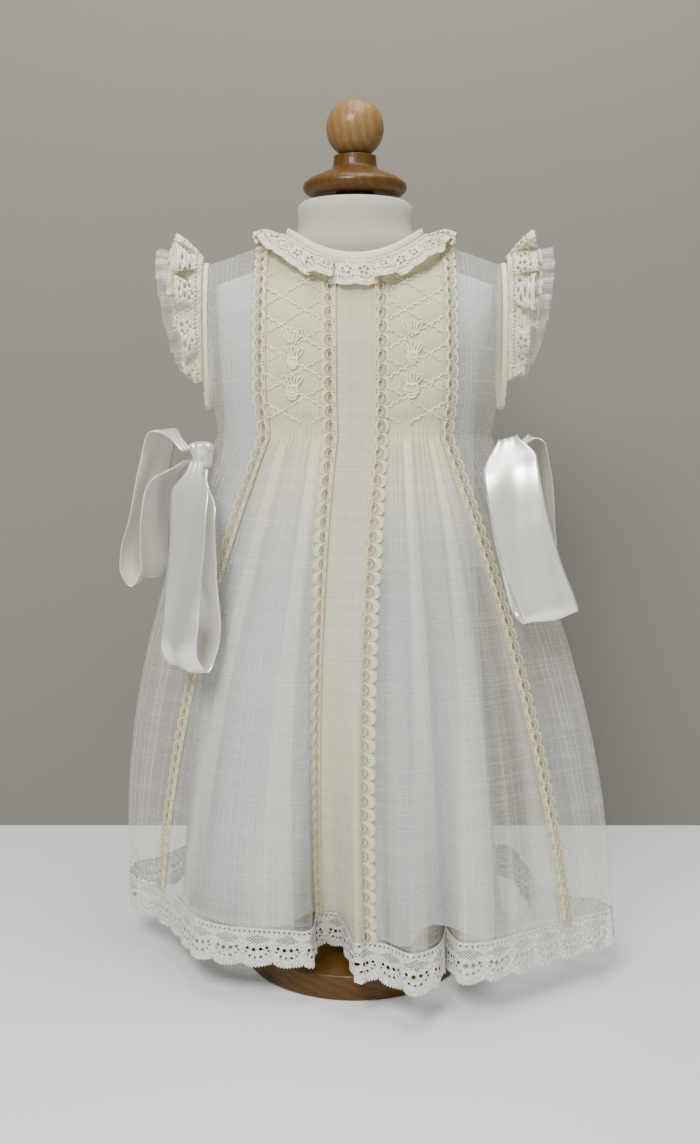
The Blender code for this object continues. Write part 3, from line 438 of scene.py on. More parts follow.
def through(points, steps):
    """A smooth line of steps + 1 even points through given points: cubics with mean slopes."""
    path = np.asarray(points, float)
    run = lengths(path)
    share = np.linspace(0, run[-1], steps + 1)
    slope = np.gradient(path, run, axis=0, edge_order=1)
    i = np.clip(np.searchsorted(run, share, side="right") - 1, 0, len(run) - 2)
    h = (run[i + 1] - run[i])[:, None]
    x = (share - run[i])[:, None] / h
    return hermite(x, h, path[i], path[i + 1], slope[i], slope[i + 1])


def fold_table(rows):
    """Knots and columns of a fold table, in metres."""
    knots = np.array([way_round(side, across) for side, across, *_ in rows])
    return knots, np.array([row[2:] for row in rows], float) / 1000


DRESS_TABLE = fold_table(FOLDS)
SLIP_TABLE = fold_table(SLIP_FOLDS)


def hang(q, v, waist, table):
    """Plan place of a skirt at depth v (0 waist, 1 hem): a parabola through waist, middle and hem."""
    knots, columns = table
    mid = [cyclic(q, knots, columns[:, k]) for k in (0, 1)]
    hem = [cyclic(q, knots, columns[:, k]) for k in (2, 3)]
    start, middle, end = (1 - v) * (1 - 2 * v), 4 * v * (1 - v), v * (2 * v - 1)
    return [start * waist[k] + middle * mid[k] + end * hem[k] for k in (0, 1)]


def ridge(x):
    """Height of the dress's shoulder line: it falls with the distance from the neck."""
    return NECK_SIDE_Z + 0.0010 + SHOULDER_SLOPE * (NECK_HALF - 0.001 - np.hypot(x, NECK_ROUND))


def neckline(x, front):
    """Height of the neckline: a parabola between the two sides of the neck."""
    share = 1 - np.clip(np.abs(x) / NECK_HALF, 0, 1) ** 2
    return NECK_SIDE_Z + np.where(front, -NECK_FRONT_DROP, NECK_BACK_RISE) * share


def armhole(z):
    """Half opening of the armhole at a height, as a share: an ellipse."""
    middle = (SHOULDER_TIP_Z + ARMHOLE_BOTTOM_Z) / 2
    reach = (SHOULDER_TIP_Z - ARMHOLE_BOTTOM_Z) / 2
    return np.sqrt(np.clip(1 - ((z - middle) / reach) ** 2, 0, 1))


def bodice_depth(across, x, z, front):
    """How far the bodice stands in front of or behind the shoulder line: girth times fall, plus armhole."""
    girth = np.sqrt(np.clip(1 - np.abs(across) ** BODICE_ROUND, 0, 1))
    fall = np.where(front, FRONT_FALL, BACK_FALL)
    power = np.where(front, FRONT_SWELL, BACK_SWELL)
    drop = np.sin(np.pi / 2 * np.clip((ridge(x) - z) / fall, 0, 1)) ** power
    depth = np.where(front, CHEST_DEPTH, BACK_DEPTH) * girth * drop
    edge = np.where(front, ARMHOLE_FRONT, ARMHOLE_BACK) * armhole(z) * np.abs(across) ** 6
    return np.where(front, -1, 1) * (depth + edge + GAP * 0.7)


def half_width(z):
    """Half width of the bodice at a height."""
    return WAIST_HALF + (SHOULDER_HALF - WAIST_HALF) * ease((z - WAIST_Z) / WAIST_EASE)


def top_edge(x, front):
    """Height of the dress's top edge: the neckline inside the neck, the shoulder line beyond."""
    return np.where(np.abs(x) < NECK_HALF, neckline(x, front), ridge(x))


def round_body(q):
    """q brought to -1 to 3, whether it is in front, and how far across it lies: the sine of its quarter turns."""
    q = (np.asarray(q, float) + 1) % 4 - 1
    front = q <= 1
    return q, front, np.sin(np.pi / 2 * np.where(front, q, 2 - q))


def dress(q, t):
    """The dress's middle surface at q and t."""
    q, front, across = round_body(q)
    top = top_edge(across * SHOULDER_HALF, front)
    z = top + (WAIST_Z - top) * np.clip(t, 0, 1)
    x = across * half_width(z)
    y = bodice_depth(across, x, z, front)
    v = np.clip(t - 1, 0, None)
    hung = hang(q, v, (x, y), DRESS_TABLE)
    z = np.where(t > 1, WAIST_Z + (HEM_Z - WAIST_Z) * v, z)
    return np.stack([hung[0], hung[1], z], -1)


def slip(q, t):
    """The slip's middle surface: the form's outline let out, then its own skirt."""
    q, front, across = round_body(q)
    x_top = across * SLIP_STRAP_HALF
    ridge_z = SLIP_SHOULDER_Z - SHOULDER_SLOPE * np.abs(x_top)
    scoop = np.where(front, SLIP_FRONT_DROP, SLIP_BACK_DROP)
    top = ridge_z - scoop * (1 - np.clip(np.abs(x_top) / SLIP_NECK_HALF, 0, 1) ** SLIP_SCOOP_POWER)
    z = top + (WAIST_Z - top) * np.clip(t, 0, 1) ** SLIP_ROW_POWER
    half = SLIP_WAIST_HALF + (SLIP_STRAP_HALF - SLIP_WAIST_HALF) * ease((z - SLIP_ARM_LOW) / SLIP_ARM_EASE)
    x = across * half
    girth = np.clip(1 - np.abs(across) ** SLIP_ROUND, 0, 1) ** (1 / SLIP_SQUARE)
    fall = np.clip((ridge_z - z) / SLIP_FALL, 0, 1)
    y = np.where(front, -1, 1) * (SLIP_DEPTH * girth * np.sin(np.pi / 2 * fall) ** 0.5 + GAP * 0.7)
    v = np.clip(t - 1, 0, 1)
    shift = SLIP_SHIFT * ease((SLIP_SHIFT_TOP - z) / SLIP_ARM_EASE)
    hung = hang(q, v, (x - shift, y), SLIP_TABLE)
    z = np.where(t > 1, WAIST_Z + (SLIP_HEM_Z - WAIST_Z) * v, z)
    return np.stack([hung[0], hung[1], z], -1)


def outward(surface, q, t):
    """Unit normals of a surface, away from the body: the way down crossed with the way round."""
    along = surface(q + NORMAL_STEP, t) - surface(q - NORMAL_STEP, t)
    down = surface(q, np.maximum(t + NORMAL_STEP, 0.008)) - surface(q, np.maximum(t - NORMAL_STEP, 0.004))
    return unit(np.cross(down, along))


def stretch(surface, q, t):
    """Metres of cloth for one unit of q."""
    step = np.linalg.norm(surface(q + NORMAL_STEP, t) - surface(q - NORMAL_STEP, t), axis=-1)
    return np.maximum(step / (2 * NORMAL_STEP), 0.02)


def hem_share():
    """t where the panels end and the hem lace begins."""
    return 2 - HEM_LACE / (WAIST_Z - HEM_Z)


def on_bodice(x, z):
    """q and t of places on the front of the bodice, from across and height."""
    across = np.clip(x / half_width(z), -1, 1)
    top = top_edge(across * SHOULDER_HALF, True)
    return way_round("front", across), (top - z) / (top - WAIST_Z)


def soft_noise(u, v, seed):
    """Smooth even unevenness from -1 to 1: six plane waves of fixed directions and phases, added."""
    rng = np.random.default_rng(seed)
    total = 0
    for angle, size, phase in zip(rng.uniform(0, np.pi, 6), rng.uniform(0.6, 1.8, 6), rng.uniform(0, 6, 6)):
        total = total + np.sin(size * (u * np.cos(angle) + v * np.sin(angle)) + phase)
    return total / 6


# Meshes


def mesh_piece(name, points, faces, corners, stuff):
    """A smooth mesh object from points (n, 3), quads (m, 4) and each quad's corners in UV (m, 4, 2)."""
    mesh = bpy.data.meshes.new(name)
    mesh.from_pydata(points.reshape(-1, 3), [], faces)
    layer = mesh.uv_layers.new(name="Cloth")
    layer.data.foreach_set("uv", np.ascontiguousarray(corners, np.float32).ravel())
    mesh.polygons.foreach_set("use_smooth", np.ones(len(faces), bool))
    mesh.materials.append(stuff)
    mesh.update()
    piece = bpy.data.objects.new(name, mesh)
    bpy.context.scene.collection.objects.link(piece)
    return piece


def cells(rows, cols, closed=False, turn=False):
    """Every cell of a grid, down first so that it faces out, and the same on a grid that repeats its seam.
    turn makes them face the other way."""
    r = np.arange(rows - 1)[:, None]
    c = np.arange(cols if closed else cols - 1)[None, :]
    wide = cols + int(closed)
    after = (c + 1) % cols
    faces = np.stack([r * cols + c, (r + 1) * cols + c, (r + 1) * cols + after, r * cols + after], -1)
    seams = np.stack([r * wide + c, (r + 1) * wide + c, (r + 1) * wide + c + 1, r * wide + c + 1], -1)
    order = slice(None, None, -1 if turn else 1)
    return faces.reshape(-1, 4)[:, order], seams.reshape(-1, 4)[:, order]


def grid_piece(name, points, uv, stuff, closed=False, turn=False):
    """A grid of points as one smooth surface. uv has one column more where the grid is closed."""
    faces, seams = cells(*points.shape[:2], closed, turn)
    return mesh_piece(name, points, faces, uv.reshape(-1, 2)[seams], stuff)


def closed_strip(name, points, run, stuff, turn=False):
    """A bound edge as a tube closed both ways: its rows go round its section and its columns along it."""
    rows, cols = points.shape[:2]
    faces, seams = cells(rows + 1, cols, True, turn)
    uv = np.stack(np.meshgrid(run, np.linspace(0, BINDING_WIDE, rows + 1)), -1)
    return mesh_piece(name, points, faces % (rows * cols), uv.reshape(-1, 2)[seams], stuff)


def caps(first, sides, turn):
    """Quads that close a ring of an even number of points."""
    i = np.arange(1, sides - 2, 2)
    fan = np.stack([np.zeros_like(i), i, i + 1, i + 2], -1) + first
    return fan[:, ::-1] if turn else fan


def rings_piece(name, rings, stuff, uv_scale=(1.0, 1.0)):
    """A closed solid through rings (n, sides, 3), bottom to top, flat at both ends."""
    count, sides = rings.shape[:2]
    faces, seams = cells(count, sides, True, True)
    run = lengths(rings[:, 0])
    uv = np.stack(np.meshgrid(np.linspace(0, 1, sides + 1) * uv_scale[0], run * uv_scale[1]), -1)
    ends = np.concatenate([caps(0, sides, True), caps((count - 1) * sides, sides, False)])
    corners = np.concatenate([uv.reshape(-1, 2)[seams], np.zeros((len(ends), 4, 2))])
    return mesh_piece(name, rings, np.concatenate([faces, ends]), corners, stuff)


def revolve(name, profile, sides, stuff):
    """A solid of revolution from (radius, height) pairs, bottom to top."""
    angle = full_turn(sides)
    r, z = np.asarray(profile)[:, :1], np.asarray(profile)[:, 1:]
    rings = np.stack([r * np.cos(angle), r * np.sin(angle), z + 0 * angle], -1)
    return rings_piece(name, rings, stuff)


def tubes_piece(name, batches, stuff):
    """Many round threads as one mesh. Each batch is (paths (n, k, 3), radius, sides, up): rings round each
    path, across being the path's direction crossed with up."""
    all_points, all_faces, all_corners, start = [], [], [], 0
    for paths, radius, sides, up in batches:
        count, steps = paths.shape[:2]
        tangent = unit(np.gradient(paths, axis=1))
        across = unit(np.cross(tangent, up))
        lift = np.cross(across, tangent)
        angle = full_turn(sides)[:, None]
        size = np.broadcast_to(radius, (count, steps))[:, :, None, None]
        rings = paths[:, :, None] + size * (across[:, :, None] * np.cos(angle) + lift[:, :, None] * np.sin(angle))
        faces, seams = cells(steps, sides, True)
        ends = np.concatenate([caps(0, sides, False), caps((steps - 1) * sides, sides, True)])
        one = np.concatenate([faces, ends])
        shift = (np.arange(count) * steps * sides)[:, None, None]
        all_faces.append((one[None] + shift).reshape(-1, 4) + start)
        run = np.cumsum(np.linalg.norm(np.diff(paths, axis=1, prepend=paths[:, :1]), axis=2), axis=1)
        uv = np.stack([np.repeat(run[:, :, None], sides + 1, 2),
                       np.broadcast_to(np.linspace(0, 1, sides + 1), (count, steps, sides + 1))], -1)
        side_corners = uv.reshape(count, -1, 2)[:, seams]
        flat_corners = np.zeros((count, len(ends), 4, 2))
        all_corners.append(np.concatenate([side_corners, flat_corners], 1).reshape(-1, 4, 2))
        all_points.append(rings.reshape(-1, 3))
        start += rings.size // 3
    return mesh_piece(name, *(np.concatenate(part) for part in (all_points, all_faces, all_corners)), stuff)


def grid_area(points):
    """Area of a grid of points: half the crossed diagonals of each cell."""
    a, b, c, d = points[:-1, :-1], points[1:, 1:], points[1:, :-1], points[:-1, 1:]
    return float(np.linalg.norm(np.cross(b - a, d - c), axis=-1).sum() / 2)


def declare_cloth(points):
    """Works out a piece of cloth's size, as wide as its longest row and as long as its longest column, and its
    area, but keeps none of them.
    """
    wide = round(float(np.linalg.norm(np.diff(points, axis=1), axis=-1).sum(1).max()), 3)
    long = round(float(np.linalg.norm(np.diff(points, axis=0), axis=-1).sum(0).max()), 3)
    min(grid_area(points), wide * long)


def declare_binding(long):
    """Rounds the length of a folded strip, 6.2 mm of whose cut width shows, but keeps nothing."""
    long = round(long, 3)


def finish_piece(piece, node_names):
    """Rides the body and stands for its CAD nodes, which it hides."""
    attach(piece, "root")
    if node_names:
        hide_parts(*node_names)


# Materials


class Wire:
    """One output of a node, with Python's signs: each of them adds a Math node to its tree."""

    def __init__(self, tree, socket):
        self.tree, self.socket = tree, socket

    def math(self, operation, *others, clamp=False):
        """This output and others through one Math node."""
        inputs = dict(enumerate((self, *others)))
        return add_node(self.tree, "ShaderNodeMath", inputs, operation=operation, use_clamp=clamp)[0]

    def __add__(self, other):
        return self.math("ADD", other)

    def __sub__(self, other):
        return self.math("SUBTRACT", other)

    def __rsub__(self, other):
        return self.math("MULTIPLY_ADD", -1.0, other)

    def __mul__(self, other):
        return self.math("MULTIPLY", other)

    def __truediv__(self, other):
        return self.math("DIVIDE", other)

    def clamped(self):
        """Held between 0 and 1."""
        return self.math("ADD", 0.0, clamp=True)

    def between(self, low, high, to_low=0.0, to_high=1.0):
        """A smooth step from low to high, carried to the range to_low to to_high."""
        inputs = {"Value": self, "From Min": low, "From Max": high, "To Min": to_low, "To Max": to_high}
        return add_node(self.tree, "ShaderNodeMapRange", inputs, interpolation_type="SMOOTHSTEP")["Result"]

    def mix(self, first, second):
        """A colour that goes from first to second with this share."""
        first, second = (c if isinstance(c, Wire) else (*c, 1.0) for c in (first, second))
        return add_node(self.tree, "ShaderNodeMix", {0: self, 6: first, 7: second}, data_type="RGBA")[2]

    def noise(self, scale, detail=3.0):
        """Noise at this place."""
        inputs = {"Vector": self, "Scale": scale, "Detail": detail, "Roughness": 0.55}
        return add_node(self.tree, "ShaderNodeTexNoise", inputs)["Fac"]

    def scaled(self, *factors):
        """This place times a factor for each axis."""
        return add_node(self.tree, "ShaderNodeVectorMath", {0: self, 1: factors}, operation="MULTIPLY")[0]

    def split(self):
        """The three coordinates of this place."""
        wires = add_node(self.tree, "ShaderNodeSeparateXYZ", {0: self})
        return [wires[axis] for axis in range(3)]


def join(given, socket):
    """Feeds a socket from a wire, or sets its plain value."""
    if isinstance(given, Wire):
        given.tree.links.new(given.socket, socket)
    else:
        socket.default_value = given


def add_node(tree, kind, inputs, **values):
    """A node with its properties and its inputs (by index or name). Gives its outputs as wires, by both."""
    node = tree.nodes.new(kind)
    for key, value in values.items():
        setattr(node, key, value)
    for place, given in inputs.items():
        join(given, node.inputs[place])
    wires = {index: Wire(tree, socket) for index, socket in enumerate(node.outputs)}
    wires.update({socket.name: wires[index] for index, socket in enumerate(node.outputs)})
    return wires


def shade(colour, factor):
    """A colour made darker or paler by a factor."""
    return [min(1.0, c * factor) for c in colour]


def named_group(name, inputs, outputs, build):
    """The node group of that name, made the first time it is asked for. It takes a Vector and the given numbers
    with their defaults; build gets them as wires and returns a wire for each output."""
    if name in bpy.data.node_groups:
        return bpy.data.node_groups[name]
    group = bpy.data.node_groups.new(name, "ShaderNodeTree")
    group.interface.new_socket(name="Vector", in_out="INPUT", socket_type="NodeSocketVector")
    for label, default in inputs.items():
        socket = group.interface.new_socket(name=label, in_out="INPUT", socket_type="NodeSocketFloat")
        socket.default_value = default
    for label in outputs:
        group.interface.new_socket(name=label, in_out="OUTPUT", socket_type="NodeSocketFloat")
    given = list(group.nodes.new("NodeGroupInput").outputs)[:1 + len(inputs)]
    result = group.nodes.new("NodeGroupOutput").inputs
    for wire, socket in zip(build(*[Wire(group, socket) for socket in given]), result):
        join(wire, socket)
    return group


def use_group(group, vector, **numbers):
    """Outputs of a group placed in a material at a vector."""
    return add_node(vector.tree, "ShaderNodeGroup", {"Vector": vector, **numbers}, node_tree=group)


def weave_group():
    """Open weave: fine threads both ways, thicker ones of uneven weight every pane, and slubs along both."""
    def build(vector, pane, slub):
        tree = vector.tree
        bent = add_node(tree, "ShaderNodeTexNoise", {"Vector": vector, "Scale": 55.0, "Detail": 1.0})["Color"]
        offset = add_node(tree, "ShaderNodeVectorMath", {0: bent, "Scale": 0.0012}, operation="SCALE")[0]
        placed = add_node(tree, "ShaderNodeVectorMath", {0: vector, 1: offset}, operation="ADD")[0].split()
        lines, fine, slubs = [], [], []
        ways = ((0, (900.0, 60.0, 1.0), 1.0, 0.6), (1, (60.0, 900.0, 1.0), 0.75, 1.0))
        for axis, squeeze, weight, slub_weight in ways:
            place = placed[axis] / pane
            part = (place.math("FRACT") - 0.5).math("ABSOLUTE")
            number = (place + (0.5 + 40 * axis)).math("FLOOR")
            which = add_node(tree, "ShaderNodeTexWhiteNoise", {"W": number}, noise_dimensions="1D")["Value"]
            lines.append(part.between(0.28, 0.42) * (which.math("POWER", 1.6) * weight))
            fine.append((placed[axis] * (2 * math.pi / FINE_THREAD)).math("SINE"))
            slubs.append(vector.scaled(*squeeze).noise(1.0, 2.0).between(0.56, 0.70) * slub_weight)
        pane_lines, slub_lines = (pair[0].math("MAXIMUM", pair[1]) for pair in (lines, slubs))
        return pane_lines, fine[0] * fine[1] * 0.5 + 0.5, slub_lines * slub

    return named_group("Open weave", {"Pane": 0.0023, "Slub": 0.5}, ("Pane lines", "Fine threads", "Slubs"), build)


def cotton_group():
    """Cotton fuzz: two noises, one fine for relief and one broad for shade."""
    def build(vector, scale):
        return vector.noise(scale, 3.0), vector.noise(scale * 0.012, 4.0)

    return named_group("Cotton", {"Scale": 2200.0}, ("Relief", "Shade"), build)


def holes_group(name, repeat, holes, net=None):
    """Eyelets of a lace: for each repeat along it, the least distance to a list of round holes
    (along, down, radius). A net (half along, half down, centre down, pitch) adds a lozenge of small holes
    on crossed diagonals. Hole is 1 inside one; Rim is 1 round its edge."""
    def build(vector, rim_width):
        x, y, _ = vector.split()
        along = ((x / repeat).math("FRACT") - 0.5) * repeat
        place = add_node(vector.tree, "ShaderNodeCombineXYZ", {0: along, 1: y})[0]
        nearest = None
        for hole_x, hole_y, radius in holes:
            inputs = {0: place, 1: (hole_x, hole_y, 0.0)}
            edge = add_node(vector.tree, "ShaderNodeVectorMath", inputs, operation="DISTANCE")["Value"] - radius
            nearest = edge if nearest is None else nearest.math("MINIMUM", edge)
        if net:
            half_along, half_down, centre, pitch = net
            down = y - centre
            a, b = ((side / pitch).math("FRACT") - 0.5 for side in (along + down, along - down))
            edge = ((a * a + b * b).math("SQRT") - 0.30) * (pitch * 0.7)
            reach = along.math("ABSOLUTE") / half_along + down.math("ABSOLUTE") / half_down
            nearest = nearest.math("MINIMUM", edge + reach.math("GREATER_THAN", 1.0))
        return nearest.math("LESS_THAN", 0.0), nearest.between(0.0, rim_width, 1.0, 0.0)

    return named_group(name, {"Rim width": 0.0006}, ("Hole", "Rim"), build)


def frill_group():
    """The eyelets of the gathered lace at neck and sleeves."""
    return holes_group("Frill eyelets", FRILL_REPEAT, FRILL_HOLES)


def grain_group():
    """Wood grain: bands bent by noise, with fine pores along them."""
    def build(vector, rings):
        inputs = {"Vector": vector, "Scale": rings, "Distortion": 5.0, "Detail": 3.0, "Detail Scale": 1.2,
                  "Detail Roughness": 0.6}
        wave = add_node(vector.tree, "ShaderNodeTexWave", inputs, wave_type="BANDS", bands_direction="X")["Fac"]
        return wave, vector.scaled(900.0, 900.0, 60.0).noise(1.0, 2.0).between(0.42, 0.62)

    return named_group("Wood grain", {"Rings": 90.0}, ("Grain", "Pores"), build)


def start_material(name, roughness, sheen=0.0, plain=()):
    """A Principled material with its plain values; gives it with the cloth's UV and the object's coordinates."""
    stuff = bpy.data.materials.new(name)
    stuff.use_nodes = True
    tree = stuff.node_tree
    values = {"Roughness": roughness, "Sheen Weight": sheen, "Sheen Roughness": 0.5, "Coat Weight": 0.0,
              "Specular IOR Level": 0.3, **dict(plain)}
    for label, value in values.items():
        tree.nodes["Principled BSDF"].inputs[label].default_value = value
    uv = add_node(tree, "ShaderNodeUVMap", {}, uv_map="Cloth")[0]
    return stuff, uv, add_node(tree, "ShaderNodeTexCoord", {})["Object"]


def finish_material(stuff, colour, height=None, distance=0.0, **others):
    """Joins the colour, a relief of 0 to 1 that is distance metres high, and other inputs to the shader."""
    shader = stuff.node_tree.nodes["Principled BSDF"]
    join(colour, shader.inputs["Base Color"])
    if height:
        bump = {"Strength": 1.0, "Distance": distance, "Height": height}
        join(add_node(stuff.node_tree, "ShaderNodeBump", bump)["Normal"], shader.inputs["Normal"])
    for label, wire in others.items():
        join(wire, shader.inputs[label])
    return stuff


def material(name, make, *settings):
    """A material of this scene, made the first time it is asked for; the frame's own keep their names."""
    name += "_finish"
    return bpy.data.materials.get(name) or make(name, *settings)


def sheer_material(name, cover=0.15, smocked=False, sheer=None):
    """Sheer cloth with a window-pane weave of uneven threads, cover being how closed it is between them.
    Where it is smocked it is pleated, closed and uneven in tone, with painted shade in the valleys of the pleats,
    and the gathers below make it closer. There broad bands down the skirt are creamier and closer, as where the
    cloth lies double."""
    stuff, uv, place = start_material(name, 0.75, 0.25)
    weave = use_group(weave_group(), uv, Pane=sizes().pane, Slub=0.45)
    cotton = use_group(cotton_group(), place, Scale=1500.0)
    lines = weave["Pane lines"].math("MAXIMUM", weave["Slubs"])
    alpha = lines * 0.36 + cover + weave["Fine threads"] * 0.06
    height = lines * 0.6 + weave["Fine threads"] * 0.3
    distance = 0.00018
    sheer = sheer or colours().sheer
    colour = (cotton["Shade"] * 0.5).mix(sheer, shade(sheer, 0.86))
    colour = (lines * 0.45).mix(colour, PANE_CREAM)
    if smocked:
        double = uv.scaled(27.0, 1.2, 1.0).noise(1.0, 1.5).between(0.46, 0.55)
        x, _, z = place.split()
        above = z.between(SMOCK_END_Z - 0.022, SMOCK_END_Z + 0.004)
        close = z.between(0.27, SMOCK_END_Z, 0.0, 0.42)
        alpha = alpha + double * 0.24 + close + above * 0.7
        pleat = (x * (math.pi / sizes().pleat) + place.noise(160.0, 2.0) * 4.0).math("SINE").math("ABSOLUTE")
        pleat = (pleat * 0.55 + place.scaled(850.0, 850.0, 110.0).noise(1.0, 3.0) * 0.6) * above
        height = height * 0.15 + pleat * 0.85
        distance = 0.0007
        # Painted shade: the cloth is darkened in the valleys between the pleats.
        valley_shade = (1.05 - pleat).clamped() * above * 0.70
        mottle = place.noise(210.0, 3.0).between(0.42, 0.62) * above * 0.30
        colour = (double * 0.50).mix(colour, DOUBLED_CREAM)
        colour = z.between(0.28, SMOCK_END_Z).mix(colour, colours().cream)
        colour = (above * 0.75).mix(colour, PLEAT_CREAM)
        colour = valley_shade.mix(colour, PLEAT_VALLEY_SHADE)
        colour = mottle.mix(colour, PLEAT_MOTTLE)
    return finish_material(stuff, colour, height, distance, Alpha=alpha.clamped())


def lawn_material(name):
    """White cotton lawn: a fine even weave."""
    stuff, uv, place = start_material(name, 0.8, 0.15)
    weave = use_group(weave_group(), uv, Pane=0.0011, Slub=0.3)
    cotton = use_group(cotton_group(), place, Scale=1800.0)
    colour = (cotton["Shade"] * 0.4).mix(colours().slip, shade(colours().slip, 0.9))
    return finish_material(stuff, colour, cotton["Relief"] * 0.5 + weave["Fine threads"], 0.00008)


def lace_material(name, colour, group):
    """Cotton lace: close stitches and eyelets with a raised rim round each, painted shade in the hollows and a
    painted highlight on the rims.
    """
    stuff, uv, place = start_material(name, 0.85, 0.2)
    cotton = use_group(cotton_group(), place, Scale=1100.0)
    eyelets = use_group(group, uv)
    ribs = (uv.split()[0] * (2 * math.pi * LACE_RIBS)).math("SINE")
    knots, petals = (
        add_node(uv.tree, "ShaderNodeTexVoronoi", {"Vector": uv, **inputs}, feature=feature)["Distance"].between(
            0.15, far, 1.0, 0.0)
        for feature, inputs, far in (
            ("F1", {"Scale": 1100.0}, 0.6), ("SMOOTH_F1", {"Scale": 430.0, "Smoothness": 0.3}, 0.65))
    )
    height = ribs * 0.08 + cotton["Relief"] * 0.3 + knots * 0.4 + petals * 0.8 + eyelets["Rim"]
    # Painted shade: the lace is darkened in the hollows between the petals and knots.
    hollow_shade = (1.0 - petals) * (1.1 - knots)
    tone = (hollow_shade * 0.75).mix(colour, shade(colour, 0.62))
    # Painted highlight: the raised rims round the eyelets are made paler.
    tone = (eyelets["Rim"] * 0.7).mix(tone, shade(colour, 1.12))
    return finish_material(stuff, tone, height, 0.0007, Alpha=1.0 - eyelets["Hole"])


def strip_material(name):
    """Ecru edging: wrapped cotton with a row of pinholes on an arc round each eyelet and a few at the tape,
    with painted shade round each pinhole.
    """
    stuff, uv, place = start_material(name, 0.85, 0.2)
    cotton = use_group(cotton_group(), place, Scale=1500.0)
    pins = use_group(holes_group("Strip pinholes", LACE_PITCH, STRIP_HOLES), uv)
    wraps = (uv.split()[0] * (2 * math.pi / THREAD_TWIST)).math("SINE")
    ecru = colours().ecru
    tone = (cotton["Shade"] * 0.6).mix(ecru, shade(ecru, 0.74))
    # Painted shade: the tone is darkened round the rim of each pinhole.
    tone = (pins["Rim"] * 0.65).mix(tone, shade(ecru, 0.50))
    height = wraps * 0.25 + cotton["Relief"] + pins["Rim"]
    return finish_material(stuff, tone, height, 0.0003, Alpha=1.0 - pins["Hole"])


def stitch_material(name):
    """Wrapped cotton thread: a fine twist along it, with painted shade in the grooves of the twist."""
    stuff, uv, _ = start_material(name, 0.7, 0.2)
    along, around, _ = uv.split()
    twist = (along * (2 * math.pi / THREAD_TWIST) + around * (2 * math.pi)).math("SINE") * 0.5 + 0.5
    # Painted shade: the thread is darker where the twist's relief is low.
    return finish_material(stuff, twist.mix(shade(colours().thread, 0.8), colours().thread), twist, 0.0001)


def satin_material(name):
    """Satin: one smooth gloss over the ribbon, with a duller woven edge along both sides."""
    stuff, uv, _ = start_material(name, 0.29, 0.1, {"Specular IOR Level": 0.9, "Metallic": 0.6})
    edge = uv.split()[0].math("ABSOLUTE").between(0.0162, 0.0166)
    return finish_material(stuff, (edge * 0.25).mix(colours().satin, SATIN_EDGE), edge, 0.00004)


def linen_material(name):
    """Plain linen stretched over the form: slubbed threads both ways."""
    stuff, uv, place = start_material(name, 0.85, 0.1)
    weave = use_group(weave_group(), uv, Pane=0.0009, Slub=0.9)
    cotton = use_group(cotton_group(), place, Scale=1200.0)
    tone = (weave["Slubs"] * 0.7).mix(colours().linen, shade(colours().linen, 0.78))
    tone = (cotton["Shade"] * 0.4).mix(tone, LINEN_PALE)
    return finish_material(stuff, tone, weave["Fine threads"] + weave["Slubs"] * 0.8, 0.00014)


def wood_material(name, tilt, paler=0.0):
    """Varnished wood: straight grain lines turned by tilt, darker in the pores, under a clear coat.
    paler mixes in a paler wood tone, painted light for a part that stands in more light."""
    plain = {"Coat Weight": 0.22, "Coat Roughness": 0.12, "Specular IOR Level": 0.22}
    stuff, _, place = start_material(name, 0.38, 0.0, plain)
    turned = add_node(place.tree, "ShaderNodeMapping", {"Vector": place, "Rotation": tilt})[0]
    grain = use_group(grain_group(), turned, Rings=55.0)
    # Painted light: paler moves the wood and its grain towards a lit tone.
    wood, dark = ([c + share * (lit_tone - c) for c, lit_tone in zip(tone, LIT_WOOD_TONE)]
                  for tone, share in ((colours().wood, paler), (colours().dark_wood, paler * 0.3)))
    tone = (grain["Grain"] * 0.45).mix(wood, dark)
    tone = (grain["Pores"] * 0.35).mix(tone, dark)
    tone = (place.noise(30.0) * 0.5).mix(tone, shade(wood, 1.3))
    rough = grain["Pores"].between(0.0, 1.0, 0.36, 0.55)
    return finish_material(stuff, tone, grain["Pores"], 0.00006, Roughness=rough)


# Cloth


def panel_points(surface, across, side, t, wave=None):
    """Grid on a surface: every across with every t; wave gives metres out along the normal."""
    q, t = np.meshgrid(way_round(side, across), t)
    points = surface(q, t)
    if wave is not None:
        points = points + outward(surface, q, t) * wave(q, t, points)[..., None]
    return points


def cloth_uv(points):
    """UV in metres: share of the lowest row's length along, and the length of the middle column down."""
    return np.stack(np.meshgrid(lengths(points[-1]), lengths(points[:, points.shape[1] // 2])), -1)


def panel_rows(top_rows, skirt_rows):
    """t of a panel's rows from its top edge to the hem lace."""
    return np.concatenate([np.linspace(0, 1, top_rows), np.linspace(1, hem_share(), skirt_rows)[1:]])


def creases(q, t, points):
    """Soft creases of the skirt: slow noise round and down, growing below the waist."""
    depth = ease((t - 1.02) / 0.5)
    run = q * 0.16
    fine = soft_noise(run * 230, t * 2.0, 5) * 0.0022 + soft_noise(run * 620, t * 4.0, 11) * 0.0006
    return fine * depth + soft_noise(points[..., 0] * 240, points[..., 2] * 160, 3) * 0.0004


def smock_relief(x, z):
    """Puffs between the stitched lines: the product of two sines, one along each diagonal."""
    far = np.abs(x)
    main = np.abs(np.sin(np.pi * (z - SMOCK_SLOPE * far) / SMOCK_PITCH))
    cross = np.abs(np.sin(np.pi * (z + SMOCK_SLOPE * far) / SMOCK_PITCH))
    edge = ease((far - 0.017) / 0.004) * ease((0.0605 - far) / 0.004)
    return sizes().puff * (0.75 * main ** 0.7 + 0.25 * cross ** 0.6) * edge * ease((z - SMOCK_END_Z) / 0.008)


